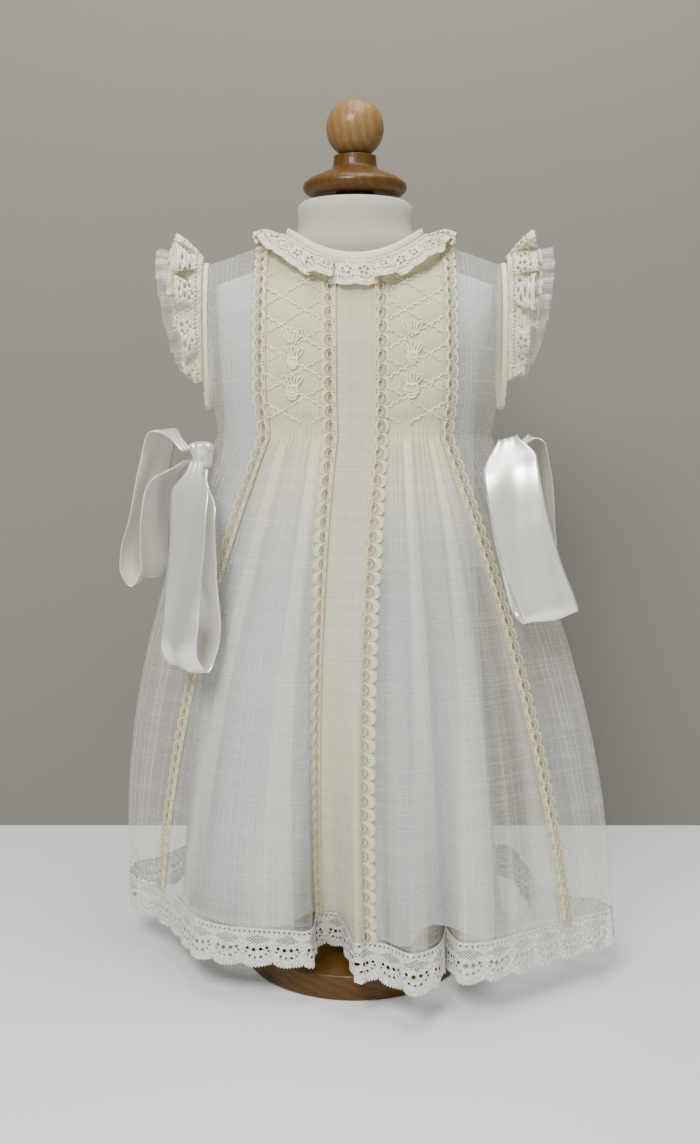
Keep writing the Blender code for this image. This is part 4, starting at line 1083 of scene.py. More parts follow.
def smocked_wave(q, t, points):
    """Puffs above the waist; below it, narrow gathers that fade out half way down the skirt."""
    across = np.sin(np.pi / 2 * q)
    share = (np.abs(across) - INNER_SEAM) / 0.45
    depth = np.clip(t - 1, 0, 1)
    reach = 0.15 + 0.12 * soft_noise(share * 31, 0 * depth, 17)
    fade = np.exp(-((depth / np.clip(reach, 0.05, 1)) ** 2)) * ease((t - 0.95) / 0.06)
    side = ease(share / 0.08) * ease((1 - share) / 0.08)
    bent = share * 13 + 1.7 * soft_noise(share * 11, depth * 3, 21)
    fold = np.cos(2 * np.pi * bent) * (1 + 1.1 * soft_noise(share * 23, depth * 3, 8))
    gathers = sizes().gather * fold * fade * side
    return gathers + creases(q, t, points) + smock_relief(points[..., 0], points[..., 2])


def add_panel(name, surface, across, side, rows, wave, stuff, nodes):
    """One cloth panel."""
    points = panel_points(surface, across, side, rows, wave)
    turn = side == "back" and across[0] < across[-1]
    piece = grid_piece(name, points, cloth_uv(points), stuff, turn=turn)
    finish_piece(piece, nodes)
    declare_cloth(points)
    return piece


# Lace


def scallop_edge(share, teeth, picot):
    """How far a scalloped edge stands out at a share along a repeat: an arch, with pointed picots on it."""
    arch = np.abs(np.sin(np.pi * share)) ** 0.55
    return arch, picot * (1 - np.abs(2 * ((share * teeth) % 1) - 1))


def overhang(wave, run, amount):
    """How far the sides of folds lean over, in metres along the edge: less the fold's height over the mean
    times its slope, so that high steep folds bulge over their own feet."""
    return -amount * (wave - wave.mean()) * np.gradient(wave, run)


def lace_strip_points(place, hand):
    """Points of one strip. Each repeat is a ring of cells from a D-shaped eyelet out to the repeat's own
    edge, laid on the dress: q moves by the distance across over the stretch, t by the distance down."""
    q0 = way_round("front", place)
    line_t = np.linspace(0.012, hem_share(), 900)
    line = dress(np.full(900, q0), line_t)
    run = lengths(line)
    count = int(run[-1] / LACE_PITCH)
    pitch = run[-1] / count
    around, out = 48, 12
    angle = full_turn(around) + np.pi / around
    c, s = np.cos(angle), np.sin(angle)
    flat = np.where(c > 0, 1.0, EYELET_FLAT)
    hole = np.stack([EYELET_HALF_WIDE * c * flat, EYELET_HALF_TALL * np.sign(s) * np.abs(s) ** 0.8], -1)
    half = LACE_WIDTH / 2 - STRIP_BORDER
    box = np.minimum(half / np.maximum(np.abs(c), 1e-6), pitch / 2 / np.maximum(np.abs(s), 1e-6))
    edge = np.stack([c * box, s * box], -1)
    arch, picots = scallop_edge(edge[:, 1] / pitch + 0.5, 5, STRIP_PICOT)
    edge[:, 0] += np.where(c > 0, (arch * STRIP_SCALLOP + picots) * np.clip(edge[:, 0] / half, 0, 1) ** 4, 0.0)
    share = np.linspace(0, 1, out)[:, None, None]
    cell = hole[None] * (1 - share) + edge[None] * share
    wide, tall = cell[..., 0] + 0.0005, cell[..., 1]
    cord = np.exp(-(((share[..., 0] - 0.10) / 0.12) ** 2)) * CORD_HIGH
    arcs = np.exp(-(((np.hypot(wide / 0.0043, tall / 0.0040) - 1) / 0.10) ** 2)) * ARCS_HIGH * (wide > 0)
    tape = np.exp(-(((wide + half - 0.0008) / 0.0006) ** 2)) * CORD_HIGH
    lift = cord + arcs + tape
    centre = (np.arange(count) + 0.5)[:, None, None] * pitch
    w = np.broadcast_to(cell[None, ..., 0] * hand, (count, out, around))
    down = np.clip(centre + cell[None, ..., 1], 0, run[-1])
    t = np.interp(down, run, line_t)
    q = q0 + w / stretch(dress, np.full_like(t, q0), t)
    normal = outward(dress, q, t)
    points = dress(q, t) + normal * (STRIP_LIFT + lift[None])[..., None]
    flat_cell = np.concatenate([cell, cell[:, :1]], 1)[None]
    number = np.arange(count)[:, None, None] + 0.5
    way = (flat_cell[..., 1] / pitch + number) * LACE_PITCH
    return points, np.stack([way, np.broadcast_to(flat_cell[..., 0], way.shape)], -1)


def add_strip(word, place, hand, stuff):
    """One lace strip over a seam, its picots on the side hand."""
    points, uv = lace_strip_points(place, hand)
    count, out, around = points.shape[:3]
    faces, seams = cells(out, around, True, hand > 0)
    shift = np.arange(count)[:, None, None]
    all_faces = (faces[None] + shift * out * around).reshape(-1, 4)
    corners = uv.reshape(count, -1, 2)[:, seams].reshape(-1, 4, 2)
    piece = mesh_piece("strip_" + word, points, all_faces, corners, stuff)
    finish_piece(piece, ["lace_" + word])
    return piece


def add_hem_lace(word, start, end, stuff):
    """Scalloped lace below the panels: rows go down from the panels' edge to the scallops, along every fold."""
    size = sizes().scallop
    q = np.linspace(start, end, 4001)
    run = np.cumsum(stretch(dress, q, np.full(4001, 1.96))) * (q[1] - q[0])
    run = run - run[0]
    count = int(round(run[-1] / size))
    along = np.linspace(0, run[-1], count * 60 + 1)
    share = along / run[-1] * count
    place = np.interp(along, run, q)
    arch, picots = scallop_edge(share % 1, 10, HEM_PICOT)
    depth = HEM_LACE - HEM_NARROW + HEM_ARCH * arch + picots
    rows = np.linspace(0, 1, 13) ** 0.9
    down = rows[:, None] * depth[None]
    t = hem_share() - 0.004 + down / (WAIST_Z - HEM_Z)
    q_grid = np.broadcast_to(place, t.shape)
    normal = outward(dress, q_grid, t)
    lift = 0.0006 + 0.0010 * rows[:, None] * np.sin(2 * np.pi * share)[None] + creases(q_grid, t, dress(q_grid, t))
    points = dress(q_grid, t) + normal * lift[..., None]
    uv = np.stack([np.broadcast_to(share * size, t.shape), down], -1)
    piece = grid_piece("hem_lace_" + word + "_edge", points, uv, stuff)
    finish_piece(piece, ["hem_lace_" + word])
    declare_cloth(points)
    return piece


# Neck


NECK_FOLDS = (
    # degrees round from the centre front, lift in millimetres
    (-104, 3.2), (-94, -1.4), (-86, 3.4), (-78, -1.6), (-70, 3.6), (-62, 0.6), (-50, 2.4), (-38, 1.0),
    (-28, -0.6), (-23, 4.2), (-17, 3.4), (-13, -1.2), (-6, 0.2), (4, 0.4), (11, -1.0), (15, 3.6),
    (21, 3.8), (26, -0.8), (36, 1.0), (48, 2.2), (58, -0.8), (65, 3.8), (72, -1.6), (79, 3.6),
    (86, -1.6), (94, 3.4), (104, -1.2), (116, 2.4), (128, -1.2), (141, 2.2), (154, -1.2), (167, 2.2),
    (180, -1.2), (193, 2.2), (206, -1.2), (219, 2.2), (232, -1.2), (244, 2.4),
)


def neck_base(angle):
    """Points, outward and downward-slanting directions round the neck opening."""
    front = np.cos(angle) >= 0
    x = NECK_HALF * np.sin(angle)
    z = neckline(x, front)
    base = np.stack([x, bodice_depth(x / SHOULDER_HALF, x, z, front), z], -1)
    lean = np.stack([np.sin(angle), -np.cos(angle), np.zeros_like(angle)], -1)
    fall = np.where(front, NECK_FALL_FRONT, NECK_FALL_BACK)
    slope = np.radians(NECK_FALL_SIDE + (fall - NECK_FALL_SIDE) * np.cos(angle) ** 2)[:, None]
    down = np.array([0.0, 0.0, -1.0])
    return base, lean, lean * np.cos(slope) + down * np.sin(slope), lean * np.sin(slope) - down * np.cos(slope)


def add_neck_ruffle(stuff):
    """Gathered lace round the neck: it slants out from the band, lifted by the fold table."""
    knots = np.radians([row[0] for row in NECK_FOLDS]) * 2 / np.pi
    lifts = np.array([row[1] for row in NECK_FOLDS]) * 0.0014
    angle = full_turn(1440)
    base, _, along, up = neck_base(angle)
    wave = cyclic(angle * 2 / np.pi, knots, lifts)
    round_edge = np.stack([np.cos(angle), np.sin(angle), 0 * angle], -1)
    lean_over = overhang(wave, angle * (NECK_HALF + NECK_RUFFLE_DEPTH * 0.8), 1.0)
    outer = base + along * NECK_RUFFLE_DEPTH + up * (0.0045 + wave)[:, None] + round_edge * lean_over[:, None]
    run = lengths(np.concatenate([outer, outer[:1]]))
    size = sizes().frill_scallop
    count = round(run[-1] / size)
    share = run / run[-1] * count
    arch, picots = scallop_edge(share[:-1] % 1, 6, FRILL_PICOT)
    depth = NECK_RUFFLE_DEPTH - FRILL_NARROW + FRILL_ARCH * arch + picots
    v = np.linspace(0, 1, 15)
    reach = 0.0008 + v[:, None] * depth[None]
    lift = 0.0028 + 0.0022 * v[:, None] + wave[None] * ease(v[:, None] * 1.3) + 0.0012 * np.sin(np.pi * v)[:, None]
    points = base[None] + along[None] * reach[..., None] + up[None] * lift[..., None]
    points = points + round_edge[None] * (lean_over[None] * ease(v[:, None] * 1.1))[..., None]
    down = np.concatenate([reach, reach[:, :1]], 1)
    uv = np.stack([np.broadcast_to(share * size, down.shape), down + 0.0002], -1)
    piece = grid_piece("neck_frill", points, uv, stuff, closed=True)
    finish_piece(piece, ["neck_ruffle"])
    declare_cloth(np.concatenate([points, points[:, :1]], 1))
    return piece


def add_neck_band(stuff):
    """The bound band that stands on the neckline: a rounded strip carried round the opening."""
    base, lean, _, _ = neck_base(full_turn(240))
    turn = full_turn(16)
    high = 0.0005 + 0.0030 * (1 - np.cos(turn)) * 0.93
    out = 0.0007 * np.sin(turn)
    rise = np.array([0.0, 0.0, 1.0])
    points = base[None] + high[:, None, None] * (rise - lean * 0.20)[None] - lean[None] * out[:, None, None]
    run = lengths(np.concatenate([base, base[:1]]))
    piece = closed_strip("neck_binding", points, run, stuff)
    finish_piece(piece, ["neck_band"])
    declare_binding(float(run[-1]))
    return piece


# Sleeves


def armhole_curve(angle, side):
    """The armhole's edge: angle 0 at the bottom, a quarter turn in front, a half turn at the shoulder."""
    middle = (SHOULDER_TIP_Z + ARMHOLE_BOTTOM_Z) / 2
    reach = (SHOULDER_TIP_Z - ARMHOLE_BOTTOM_Z) / 2
    y = -np.where(np.sin(angle) >= 0, ARMHOLE_FRONT, ARMHOLE_BACK) * np.sin(angle)
    z = middle - reach * np.cos(angle)
    radial = unit(np.stack([0 * angle, -np.sin(angle) / ARMHOLE_FRONT, -np.cos(angle) / reach], -1))
    return np.stack([np.full_like(y, side * SHOULDER_HALF), y, z], -1), radial


def add_sleeve_band(word, side, stuff):
    """The bound edge of the armhole: a flat tube from the panels outwards."""
    angle = full_turn(160)
    base, radial = armhole_curve(angle, side)
    turn = full_turn(16)
    wobble = 1 + 0.10 * np.sin(angle * 23)[:, None] + 0.08 * np.sin(angle * 41 + 1)[:, None]
    out = (0.0024 - 0.0020 * np.cos(turn)) * np.sqrt(wobble)
    thick = (0.0004 + 0.0006 * np.sin(turn)) * wobble
    points = base[None] + out.T[..., None] * np.array([side, 0, 0.0]) + radial[None] * thick.T[..., None]
    run = lengths(np.concatenate([base, base[:1]]))
    piece = closed_strip("armhole_binding_" + word, points, run, stuff, side < 0)
    finish_piece(piece, ["armhole_band_" + word])
    declare_binding(float(run[-1]))
    return piece


def add_sleeve_frill(word, side, depth, flare, lift, swing, waves, lean, lace, stuff):
    """A frill on the armhole band, longest over the shoulder: uneven waves that grow from the band out and
    lean over their own feet."""
    start, cols = 0.95, 1200 if lace else 700
    share = np.linspace(0, 1, cols)
    angle = start + share * (2 * np.pi - 2 * start)
    base, radial = armhole_curve(angle, side)
    sideways = np.array([side, 0, 0.0])
    along = sideways * np.cos(flare) + radial * np.sin(flare)
    up = radial * np.cos(flare) - sideways * np.sin(flare)
    bent = share + 0.012 * np.sin(2 * np.pi * share * 3 + side)
    wave = np.cos(2 * np.pi * waves * bent) * (1 + 0.25 * np.sin(2 * np.pi * share * 4 + 1 + side))
    tangent = unit(np.gradient(base, axis=0))
    lean_over = overhang(wave * swing, lengths(base + along * depth * 0.7), lean)
    size = sizes().frill_scallop
    count = round(1.5 * depth * 11 / 0.018)
    arch, picots = scallop_edge((share * count) % 1, 6, 0.0009)
    length = depth * (0.25 + 0.75 * np.sin(np.pi * share) ** 0.55)
    if lace:
        length = length - 0.0018 + 0.0014 * arch + picots
    v = np.linspace(0, 1, 15)[:, None]
    reach = v * length[None]
    height = swing * (0.03 + 0.97 * v ** 1.2) * (wave * length / depth)[None] + 0.0015 * np.sin(np.pi * v)
    foot = base + sideways * 0.0040 + radial * lift
    points = foot[None] + along[None] * reach[..., None] + up[None] * height[..., None]
    points = points + tangent[None] * (lean_over * length / depth * ease(v))[..., None]
    run = share * count * size
    uv = np.stack([np.broadcast_to(run, reach.shape), reach], -1)
    kind, node, slot = ("lace", "lace", "cotton_lace") if lace else ("cloth", "ruffle", "sheer_cloth")
    piece = grid_piece(f"sleeve_frill_{kind}_{word}", points, uv, stuff, turn=side > 0)
    finish_piece(piece, [f"sleeve_{node}_{word}"])
    declare_cloth(points)
    return piece


# Embroidery


def stitched_points(x, z, lift):
    """Points on the smocked bodice at across x and height z, lifted off its relief."""
    q, t = on_bodice(x, z)
    return dress(q, t) + outward(dress, q, t) * (smock_relief(x, z) + lift)[..., None]


def feather_lines(hand, slope, first, swing, branch):
    """Feather stitch along one family of lines, height = level + slope times distance from the centre: a
    thread that swings from side to side, with a branch at each turn. hand is -1 on the left panel."""
    far, level = np.meshgrid(np.linspace(0.0180, 0.0600, 20), first + np.arange(12) * SMOCK_PITCH)
    z = level + slope * far
    turn = np.where(np.arange(far.shape[1]) % 2, 1.0, -1.0)[None]
    size = math.hypot(slope, 1.0)
    step_x, step_z = -turn * slope / size, turn / size
    main_x, main_z = far + step_x * swing, z + step_z * swing
    tip_x, tip_z = main_x + step_x * branch + 0.0009 / size, main_z + step_z * branch + 0.0009 * slope / size
    ok = (main_z > SMOCK_END_Z) & (main_z < 0.488)
    both = ok[:, :-1] & ok[:, 1:]
    share = np.linspace(0, 1, 5)[None]

    def lines(start, end, use):
        return start[use][:, None] * (1 - share) + end[use][:, None] * share

    x = np.concatenate([lines(main_x[:, :-1], main_x[:, 1:], both), lines(main_x[:, :-1], tip_x[:, :-1], both)])
    z = np.concatenate([lines(main_z[:, :-1], main_z[:, 1:], both), lines(main_z[:, :-1], tip_z[:, :-1], both)])
    return stitched_points(hand * x, z, 0.0006)


def add_feather_stitch(word, hand, stuff):
    """All the feather stitch of a smocked panel as one mesh of round threads."""
    main = feather_lines(hand, SMOCK_SLOPE, SMOCK_PITCH * 20, 0.0003, 0.0011)
    cross = feather_lines(hand, -SMOCK_SLOPE, SMOCK_PITCH * 22, 0.0002, 0.0008)
    up = np.array([0.0, -1.0, 0.05])
    thread = sizes().thread
    piece = tubes_piece("feather_stitch_" + word, [(main, thread, 6, up), (cross, thread * 0.75, 6, up)], stuff)
    finish_piece(piece, [])
    return piece


def bud_paths(x, z, width, tall):
    """Coils of one bullion rosebud in its own plane: bowed bars stacked from the widest below to a short one,
    and two small curls on top, each (centreline (k, 2), height)."""
    s = np.linspace(-1, 1, 80)
    paths = []
    coils = ((-0.36, 0.62, 0.0004), (-0.14, 0.92, 0.0008), (0.08, 1.0, 0.0011), (0.28, 0.86, 0.0008))
    for level, share, high in coils:
        bow = tall * 0.20 * (s * s - 0.4)
        paths.append((np.stack([x + s * (width / 2 - 0.0008) * share, z + tall * level + bow], -1), high))
    for hand in (-1, 1):
        a = np.radians(np.linspace(-60, 200, 80))
        side_on = hand * (width * 0.16 + width * 0.13 * np.cos(a))
        curl = np.stack([x + side_on, z + tall * (0.34 + 0.14 * np.sin(a))], -1)
        paths.append((curl, 0.0013))
    return paths


def loop_path(x, z, lean, long, wide):
    """A long loop stitch from its foot at x, z: a teardrop leaning by lean."""
    a = np.linspace(0, 2 * np.pi, 28)
    up = long * (1 - np.cos(a)) / 2
    out = wide / 2 * np.sin(a) * np.sin(a / 2)
    c, s = np.cos(lean), np.sin(lean)
    return np.stack([x + up * s + out * c, z + up * c - out * s], -1)


def add_rosebud(name, x, z, width, tall, stuff):
    """One rosebud: wrapped coils and three loop leaves above it."""
    up = np.array([0.0, -1.0, 0.05])
    batches = []
    for flat, high in bud_paths(x, z, width, tall):
        steps = len(flat)
        wraps = 1 + 0.10 * np.abs(np.sin(np.linspace(0, np.pi * steps / 6, steps)))
        ends = np.sqrt(np.clip(np.linspace(0, 1, steps) * (1 - np.linspace(0, 1, steps)) * 14, 0.05, 1))
        paths = stitched_points(flat[:, 0], flat[:, 1], high + 0.0006)[None]
        batches.append((paths, 0.00085 * wraps * ends, 8, up))
    hand = np.sign(x)
    loops = [loop_path(x + lean * 0.004, z + tall * 0.42, lean, 0.0080, 0.0030) for lean in (-0.5, 0.05, 0.55)]
    if name.startswith("upper"):
        base = 0.4412 if hand < 0 else 0.4463
        loops += [loop_path(x + lean * 0.004, base, lean, 0.0095, 0.0030) for lean in (-0.45, 0.0, 0.45)]
    lines = np.stack([stitched_points(flat[:, 0], flat[:, 1], 0.0013) for flat in loops])
    batches.append((lines, 0.00050, 6, up))
    piece = tubes_piece("bullion_" + name, batches, stuff)
    finish_piece(piece, ["rosebud_" + name])
    return piece


# Ribbon


def ribbon_points(path, across, hold, ends=0.36, steps=120, cols=17):
    """A ribbon along a smooth path: even width, drawn in at both ends, with soft pleats near the knot."""
    line = through(path, steps)
    tangent = unit(np.gradient(line, axis=0))
    wide = np.asarray(across, float) / np.linalg.norm(across)
    flat = unit(np.cross(tangent, wide))
    where = np.linspace(0, 1, steps + 1)
    spread = ends + (1 - ends) * ease((np.minimum(where, 1 - where) - hold) / 0.08)
    place = np.linspace(-0.5, 0.5, cols)
    near = (1 - ease(np.minimum(where, 1 - where) / 0.13))[:, None]
    bend = soft_noise(place[None] * 3 + 2, where[:, None] * 9 + place[None] * 3, 5)
    curl = 0.0012 * near * np.abs(np.sin(place * 2 * np.pi * 1.5))[None] + 0.0042 * bend * (1 - near)
    points = line[:, None] + wide * (place[None, :, None] * RIBBON_WIDTH * spread[:, None, None])
    run = lengths(line)
    uv = np.stack(np.meshgrid(place * RIBBON_WIDTH, run), -1)
    return points + flat[:, None] * curl[..., None], uv


def add_loop(name, path, across, hold, stuff):
    """One hanging loop of a bow as a thin solid ribbon, narrow for the share hold of it at both ends."""
    points, uv = ribbon_points(path, across, hold)
    piece = grid_piece(name + "_ribbon", points, uv, stuff)
    wall = piece.modifiers.new("Thickness", "SOLIDIFY")
    wall.thickness = 0.0004
    wall.offset = 0.0
    finish_piece(piece, [name])
    side = name.split("_")[1]
    declare_cloth(points)
    return piece


def add_knot(word, centre, size, stuff):
    """The knot of a bow: a rounded block whose sides carry the ribbon's folds."""
    level = np.linspace(-1, 1, 40)[:, None]
    angle = full_turn(64)[None]
    swell = np.sqrt(np.maximum(1 - np.abs(level) ** 5, 0.08))
    wraps = np.abs(np.cos(angle * 2.5 + level * 1.1)) ** 0.5
    waist = 0.80 + 0.26 * (level + 0.25) ** 2
    folds = (0.80 + 0.30 * wraps + 0.05 * np.cos(angle * 6 - level * 3)) * waist
    x = np.sign(np.cos(angle)) * np.abs(np.cos(angle)) ** 0.8 * swell * size[0] * folds
    y = np.sign(np.sin(angle)) * np.abs(np.sin(angle)) ** 0.8 * swell * size[1] * folds
    rings = np.stack([centre[0] + x, centre[1] + y, centre[2] + level * size[2] + 0 * angle], -1)
    piece = rings_piece("knot_" + word + "_ribbon", rings, stuff, (0.05, 1.0))
    finish_piece(piece, ["knot_" + word])
    return piece


# Operators


class DRESS_OT_form(Operator):
    """Torso and neck under linen, turned cap and ball, pole and round foot"""

    bl_idname = "dress.form"
    bl_label = "Dress form"

    def execute(self, context):
        sides = context.scene.dress_stage.sides
        linen = material("linen", linen_material)
        wood = material("turned_wood", wood_material, (0.0, 0.0, 0.4))
        # Painted light: the ball's wood is a paler copy of the turned wood, as the ball stands in more light.
        ball_wood = material("ball_wood", wood_material, (0.2, 0.1, 0.4), 0.6)
        foot_wood = material("foot_wood", wood_material, (0.35, 1.25, 0.3))
        table = through(TORSO, 100)
        angle = full_turn(sides)
        c, s = np.cos(angle), np.sin(angle)
        power = 2 / table[:, 3:4]
        rings = np.stack([
            table[:, 1:2] * np.sign(c) * np.abs(c) ** power,
            table[:, 2:3] * np.sign(s) * np.abs(s) ** power,
            table[:, :1] + 0 * angle,
        ], -1)
        torso = rings_piece("torso_cover", rings, linen, (0.4, 1.0))
        finish_piece(torso, ["form_torso"])
        turned = [("cap_turning", through(CAP, 90), "neck_cap", wood)]
        arc = np.linspace(np.arccos((BALL_BOTTOM - BALL_Z) / BALL_RADIUS), 0.02, 60)
        ball = np.stack([BALL_RADIUS * np.sin(arc), BALL_Z + BALL_RADIUS * np.cos(arc)], -1)
        turned.append(("ball_turning", ball, "ball_finial", ball_wood))
        heights = np.linspace(FOOT_HEIGHT + GAP, TORSO_BOTTOM_Z - GAP, 20)
        turned.append(("pole_turning", np.stack([np.full(20, POLE_RADIUS), heights], -1), "stand_pole", wood))
        bend = np.linspace(0, np.pi / 2, 8)
        edge = FOOT_EDGE
        corner = FOOT_RADIUS - edge
        foot = np.concatenate([
            [(corner - 0.02, 0.0)],
            np.stack([corner + edge * np.sin(bend), edge - edge * np.cos(bend)], -1),
            np.stack([corner + edge * np.cos(bend), FOOT_HEIGHT - edge + edge * np.sin(bend)], -1),
            [(corner - 0.02, FOOT_HEIGHT), (0.02, FOOT_HEIGHT)],
        ])
        turned.append(("foot_turning", foot, "stand_foot", foot_wood))
        for name, profile, node, stuff in turned:
            finish_piece(revolve(name, profile, sides, stuff), [node])
        return {"FINISHED"}


class DRESS_OT_slip(Operator):
    """Front and back of the white slip, from the shoulders to its plain hem"""

    bl_idname = "dress.slip"
    bl_label = "Slip"

    def execute(self, context):
        lawn = material("white_lawn", lawn_material)
        rows = np.concatenate([np.linspace(0, 1, 50), np.linspace(1, 2, 80)[1:]])

        def wave(q, t, points):
            return soft_noise(q * 36, t * 1.6, 31) * 0.0026 * ease((t - 0.9) / 0.3)

        for side, word in (("front", "front"), ("back", "back")):
            across = np.sin(np.pi / 2 * np.linspace(-1, 1, 110))
            across = across if side == "front" else across[::-1]
            add_panel("slip_" + word + "_cloth", slip, across, side, rows, wave, lawn,
                      ["slip_" + word])
        return {"FINISHED"}


class DRESS_OT_plain_panels(Operator):
    """Centre front, side fronts and backs in plain sheer cloth"""

    bl_idname = "dress.plain_panels"
    bl_label = "Plain panels"

    def execute(self, context):
        sheer = material("sheer_cloth", sheer_material)
        centre = material("centre_cloth", sheer_material, 0.55, False, colours().cream)
        rows = panel_rows(60, 110)
        parts = (
            ("centre_front", "front", np.linspace(-INNER_SEAM, INNER_SEAM, 60)),
            ("side_front_left", "front", np.sin(np.linspace(-np.pi / 2, np.arcsin(-OUTER_SEAM), 76))),
            ("side_front_right", "front", np.sin(np.linspace(np.arcsin(OUTER_SEAM), np.pi / 2, 90))),
            ("back_right", "back", np.sin(np.linspace(np.pi / 2, 0, 112))),
            ("back_left", "back", np.sin(np.linspace(0, -np.pi / 2, 112))),
        )
        for name, side, across in parts:
            stuff = centre if name == "centre_front" else sheer
            add_panel(
                name + "_cloth", dress, across, side, rows, creases, stuff, [name]
            )
        return {"FINISHED"}


class DRESS_OT_smocked_panels(Operator):
    """The two smocked fronts with their feather stitch"""

    bl_idname = "dress.smocked_panels"
    bl_label = "Smocked panels"

    def execute(self, context):
        cloth = material("smocked_cloth", sheer_material, 0.15, True)
        thread = material("stitch_thread", stitch_material)
        rows = panel_rows(150, 120)
        for word, hand in (("left", -1), ("right", 1)):
            across = np.linspace(INNER_SEAM, OUTER_SEAM, 138) * hand
            across = across if hand > 0 else across[::-1]
            add_panel("smocked_front_" + word + "_cloth", dress, across, "front", rows, smocked_wave, cloth,
                      ["smocked_front_" + word])
            add_feather_stitch(word, hand, thread)
        return {"FINISHED"}


class DRESS_OT_rosebuds(Operator):
    """Bullion-stitch rosebuds with loop leaves"""

    bl_idname = "dress.rosebuds"
    bl_label = "Rosebuds"

    def execute(self, context):
        thread = material("stitch_thread", stitch_material)
        for row in ROSEBUDS:
            add_rosebud(*row, thread)
        return {"FINISHED"}


class DRESS_OT_lace_strips(Operator):
    """Lace strips with eyelets over the four front seams"""

    bl_idname = "dress.lace_strips"
    bl_label = "Lace strips"

    def execute(self, context):
        ecru = material("ecru_lace", strip_material)
        for word, place in zip(("outer_left", "inner_left", "inner_right", "outer_right"), STRIP_PLACES):
            add_strip(word, place, math.copysign(1, place), ecru)
        return {"FINISHED"}


class DRESS_OT_hem_lace(Operator):
    """Scalloped lace round the hem"""

    bl_idname = "dress.hem_lace"
    bl_label = "Hem lace"

    def execute(self, context):
        group = holes_group("Hem eyelets", HEM_SCALLOP, HEM_HOLES, HEM_NET)
        lace = material("hem_lace", lace_material, colours().hem, group)
        add_hem_lace("front", -1, 1, lace)
        add_hem_lace("back", 1, 3, lace)
        return {"FINISHED"}


class DRESS_OT_neck(Operator):
    """Neck binding and gathered neck lace"""

    bl_idname = "dress.neck"
    bl_label = "Neck"

    def execute(self, context):
        lace = material("frill_lace", lace_material, colours().lace, frill_group())
        binding = material("binding_cloth", sheer_material, 0.95, False, colours().cream)
        add_neck_band(binding)
        add_neck_ruffle(lace)
        return {"FINISHED"}


class DRESS_OT_sleeves(Operator):
    """Armhole bindings with a sheer frill under a lace frill"""

    bl_idname = "dress.sleeves"
    bl_label = "Sleeves"

    def execute(self, context):
        lace = material("frill_lace", lace_material, colours().lace, frill_group())
        sheer = material("sheer_cloth", sheer_material)
        binding = material("binding_cloth", sheer_material, 0.95, False, colours().cream)
        for word, side in (("left", -1), ("right", 1)):
            add_sleeve_band(word, side, binding)
            add_sleeve_frill(word, side, RUFFLE_DEPTH + 0.003, 0.22, 0.0006, 0.0036, 13, 0.7, False, sheer)
            add_sleeve_frill(word, side, SLEEVE_LACE_DEPTH + 0.002, 0.42, 0.0050, 0.0080, 8, 0.8, True, lace)
        return {"FINISHED"}


class DRESS_OT_bows(Operator):
    """Satin ties at the sides of the waist"""

    bl_idname = "dress.bows"
    bl_label = "Bows"

    def execute(self, context):
        satin = material("satin_ribbon", satin_material)
        add_knot("left", *KNOT_LEFT, satin)
        add_knot("right", *KNOT_RIGHT, satin)
        add_loop("bow_left_front_loop", LEFT_FRONT_LOOP, (0.78, -0.62, 0.0), 0.02, satin)
        add_loop("bow_left_back_loop", LEFT_BACK_LOOP, (0.40, 0.90, 0.05), 0.03, satin)
        add_loop("bow_right_front_loop", RIGHT_FRONT_LOOP, (0.965, 0.0, 0.26), 0.075, satin)
        add_loop("bow_right_back_loop", RIGHT_BACK_LOOP, (-0.20, 0.97, 0.1), 0.03, satin)
        return {"FINISHED"}


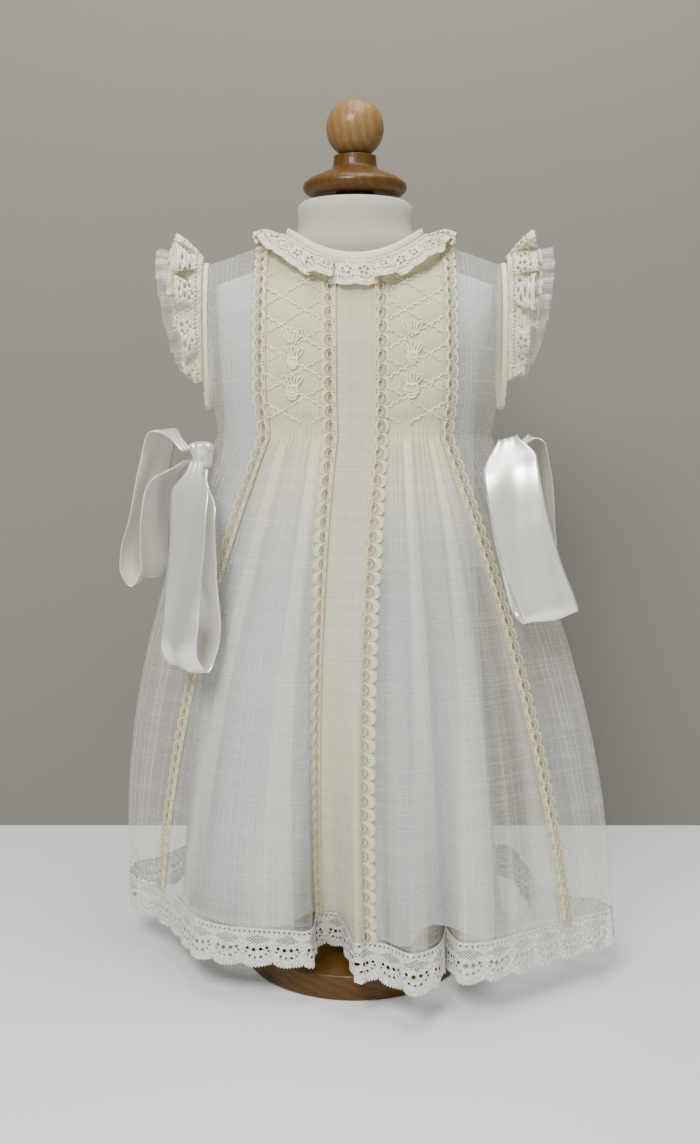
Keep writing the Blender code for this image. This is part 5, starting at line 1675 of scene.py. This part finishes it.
class DRESS_OT_stage(Operator):
    """Pale table, plain wall, camera and soft light"""

    bl_idname = "dress.stage"
    bl_label = "Stage"

    def execute(self, context):
        scene = context.scene
        stage = scene.dress_stage
        table, _, place = start_material("table_top", 0.5)
        finish_material(table, place.noise(4.0).mix(stage.table, shade(stage.table, 0.97)))
        wall, _, place = start_material("plain_wall", 0.95)
        behind = add_node(place.tree, "ShaderNodeNewGeometry", {})["Backfacing"]
        finish_material(wall, place.noise(3.0).mix(stage.wall, shade(stage.wall, 0.96)), Alpha=1.0 - behind)
        reach = np.linspace(-3, 3, 7)
        x, y = np.meshgrid(reach, reach)
        floor = grid_piece("table", np.stack([x, -y, 0 * x - 0.0002], -1), np.stack([x, y], -1), table)
        z = np.linspace(3, -0.01, 7)
        x, z = np.meshgrid(reach, z)
        back = grid_piece("wall", np.stack([x, 0 * x + 0.27, z], -1), np.stack([x, z], -1), wall)
        world = bpy.data.worlds.new("Soft room")
        world.use_nodes = True
        world.node_tree.nodes["Background"].inputs["Color"].default_value = (0.86, 0.90, 0.95, 1.0)
        world.node_tree.nodes["Background"].inputs["Strength"].default_value = 0.22
        scene.world = world
        for name, place, aim, size, share, colour in LIGHTS:
            light = bpy.data.lights.new(name, "AREA")
            light.energy = stage.key * share
            light.size = size
            light.color = colour
            lamp = bpy.data.objects.new(name, light)
            scene.collection.objects.link(lamp)
            away = np.array(place) - np.array(aim)
            lamp.location = place
            lamp.rotation_euler = (
                math.acos(away[2] / np.linalg.norm(away)), 0.0, math.atan2(away[1], away[0]) + math.pi / 2
            )
        camera = bpy.data.objects.new("camera", bpy.data.cameras.new("camera"))
        camera.data.lens = PHOTO_FOCAL / PHOTO_TALL * SENSOR
        camera.data.sensor_width = SENSOR
        camera.location = CAMERA_PLACE
        camera.rotation_euler = (math.radians(90 - CAMERA_DIP), 0.0, 0.0)
        scene.collection.objects.link(camera)
        scene.camera = camera
        return {"FINISHED"}


STEPS = (
    DRESS_OT_form, DRESS_OT_slip, DRESS_OT_plain_panels, DRESS_OT_smocked_panels, DRESS_OT_rosebuds,
    DRESS_OT_neck, DRESS_OT_sleeves, DRESS_OT_bows, DRESS_OT_lace_strips, DRESS_OT_hem_lace, DRESS_OT_stage,
)


class DRESS_PT_sidebar(Panel):
    """Lists the sizes, the colours and the steps of the dress"""

    bl_label = "Lace dress"
    bl_space_type = "VIEW_3D"
    bl_region_type = "UI"
    bl_category = "Dress"

    def draw(self, context):
        layout = self.layout
        for group in (context.scene.dress_sizes, context.scene.dress_colours, context.scene.dress_stage):
            box = layout.box()
            for name in group.__annotations__:
                box.prop(group, name)
        for step in STEPS:
            layout.operator(step.bl_idname)


CLASSES = (DressSizes, DressColours, StageSettings, *STEPS, DRESS_PT_sidebar)


def register():
    """Registers the classes and the scene's three groups of settings."""
    for kind in CLASSES:
        bpy.utils.register_class(kind)
    bpy.types.Scene.dress_sizes = PointerProperty(type=DressSizes)
    bpy.types.Scene.dress_colours = PointerProperty(type=DressColours)
    bpy.types.Scene.dress_stage = PointerProperty(type=StageSettings)


def unregister():
    """Removes what register added."""
    del bpy.types.Scene.dress_stage
    del bpy.types.Scene.dress_colours
    del bpy.types.Scene.dress_sizes
    for kind in reversed(CLASSES):
        bpy.utils.unregister_class(kind)


def main():
    """Builds every piece in order."""
    register()
    bpy.ops.dress.form()
    bpy.ops.dress.slip()
    bpy.ops.dress.plain_panels()
    bpy.ops.dress.smocked_panels()
    bpy.ops.dress.rosebuds()
    bpy.ops.dress.neck()
    bpy.ops.dress.sleeves()
    bpy.ops.dress.bows()
    bpy.ops.dress.lace_strips()
    bpy.ops.dress.hem_lace()
    bpy.ops.dress.stage()
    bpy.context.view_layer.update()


if __name__ == "__main__":
    main()
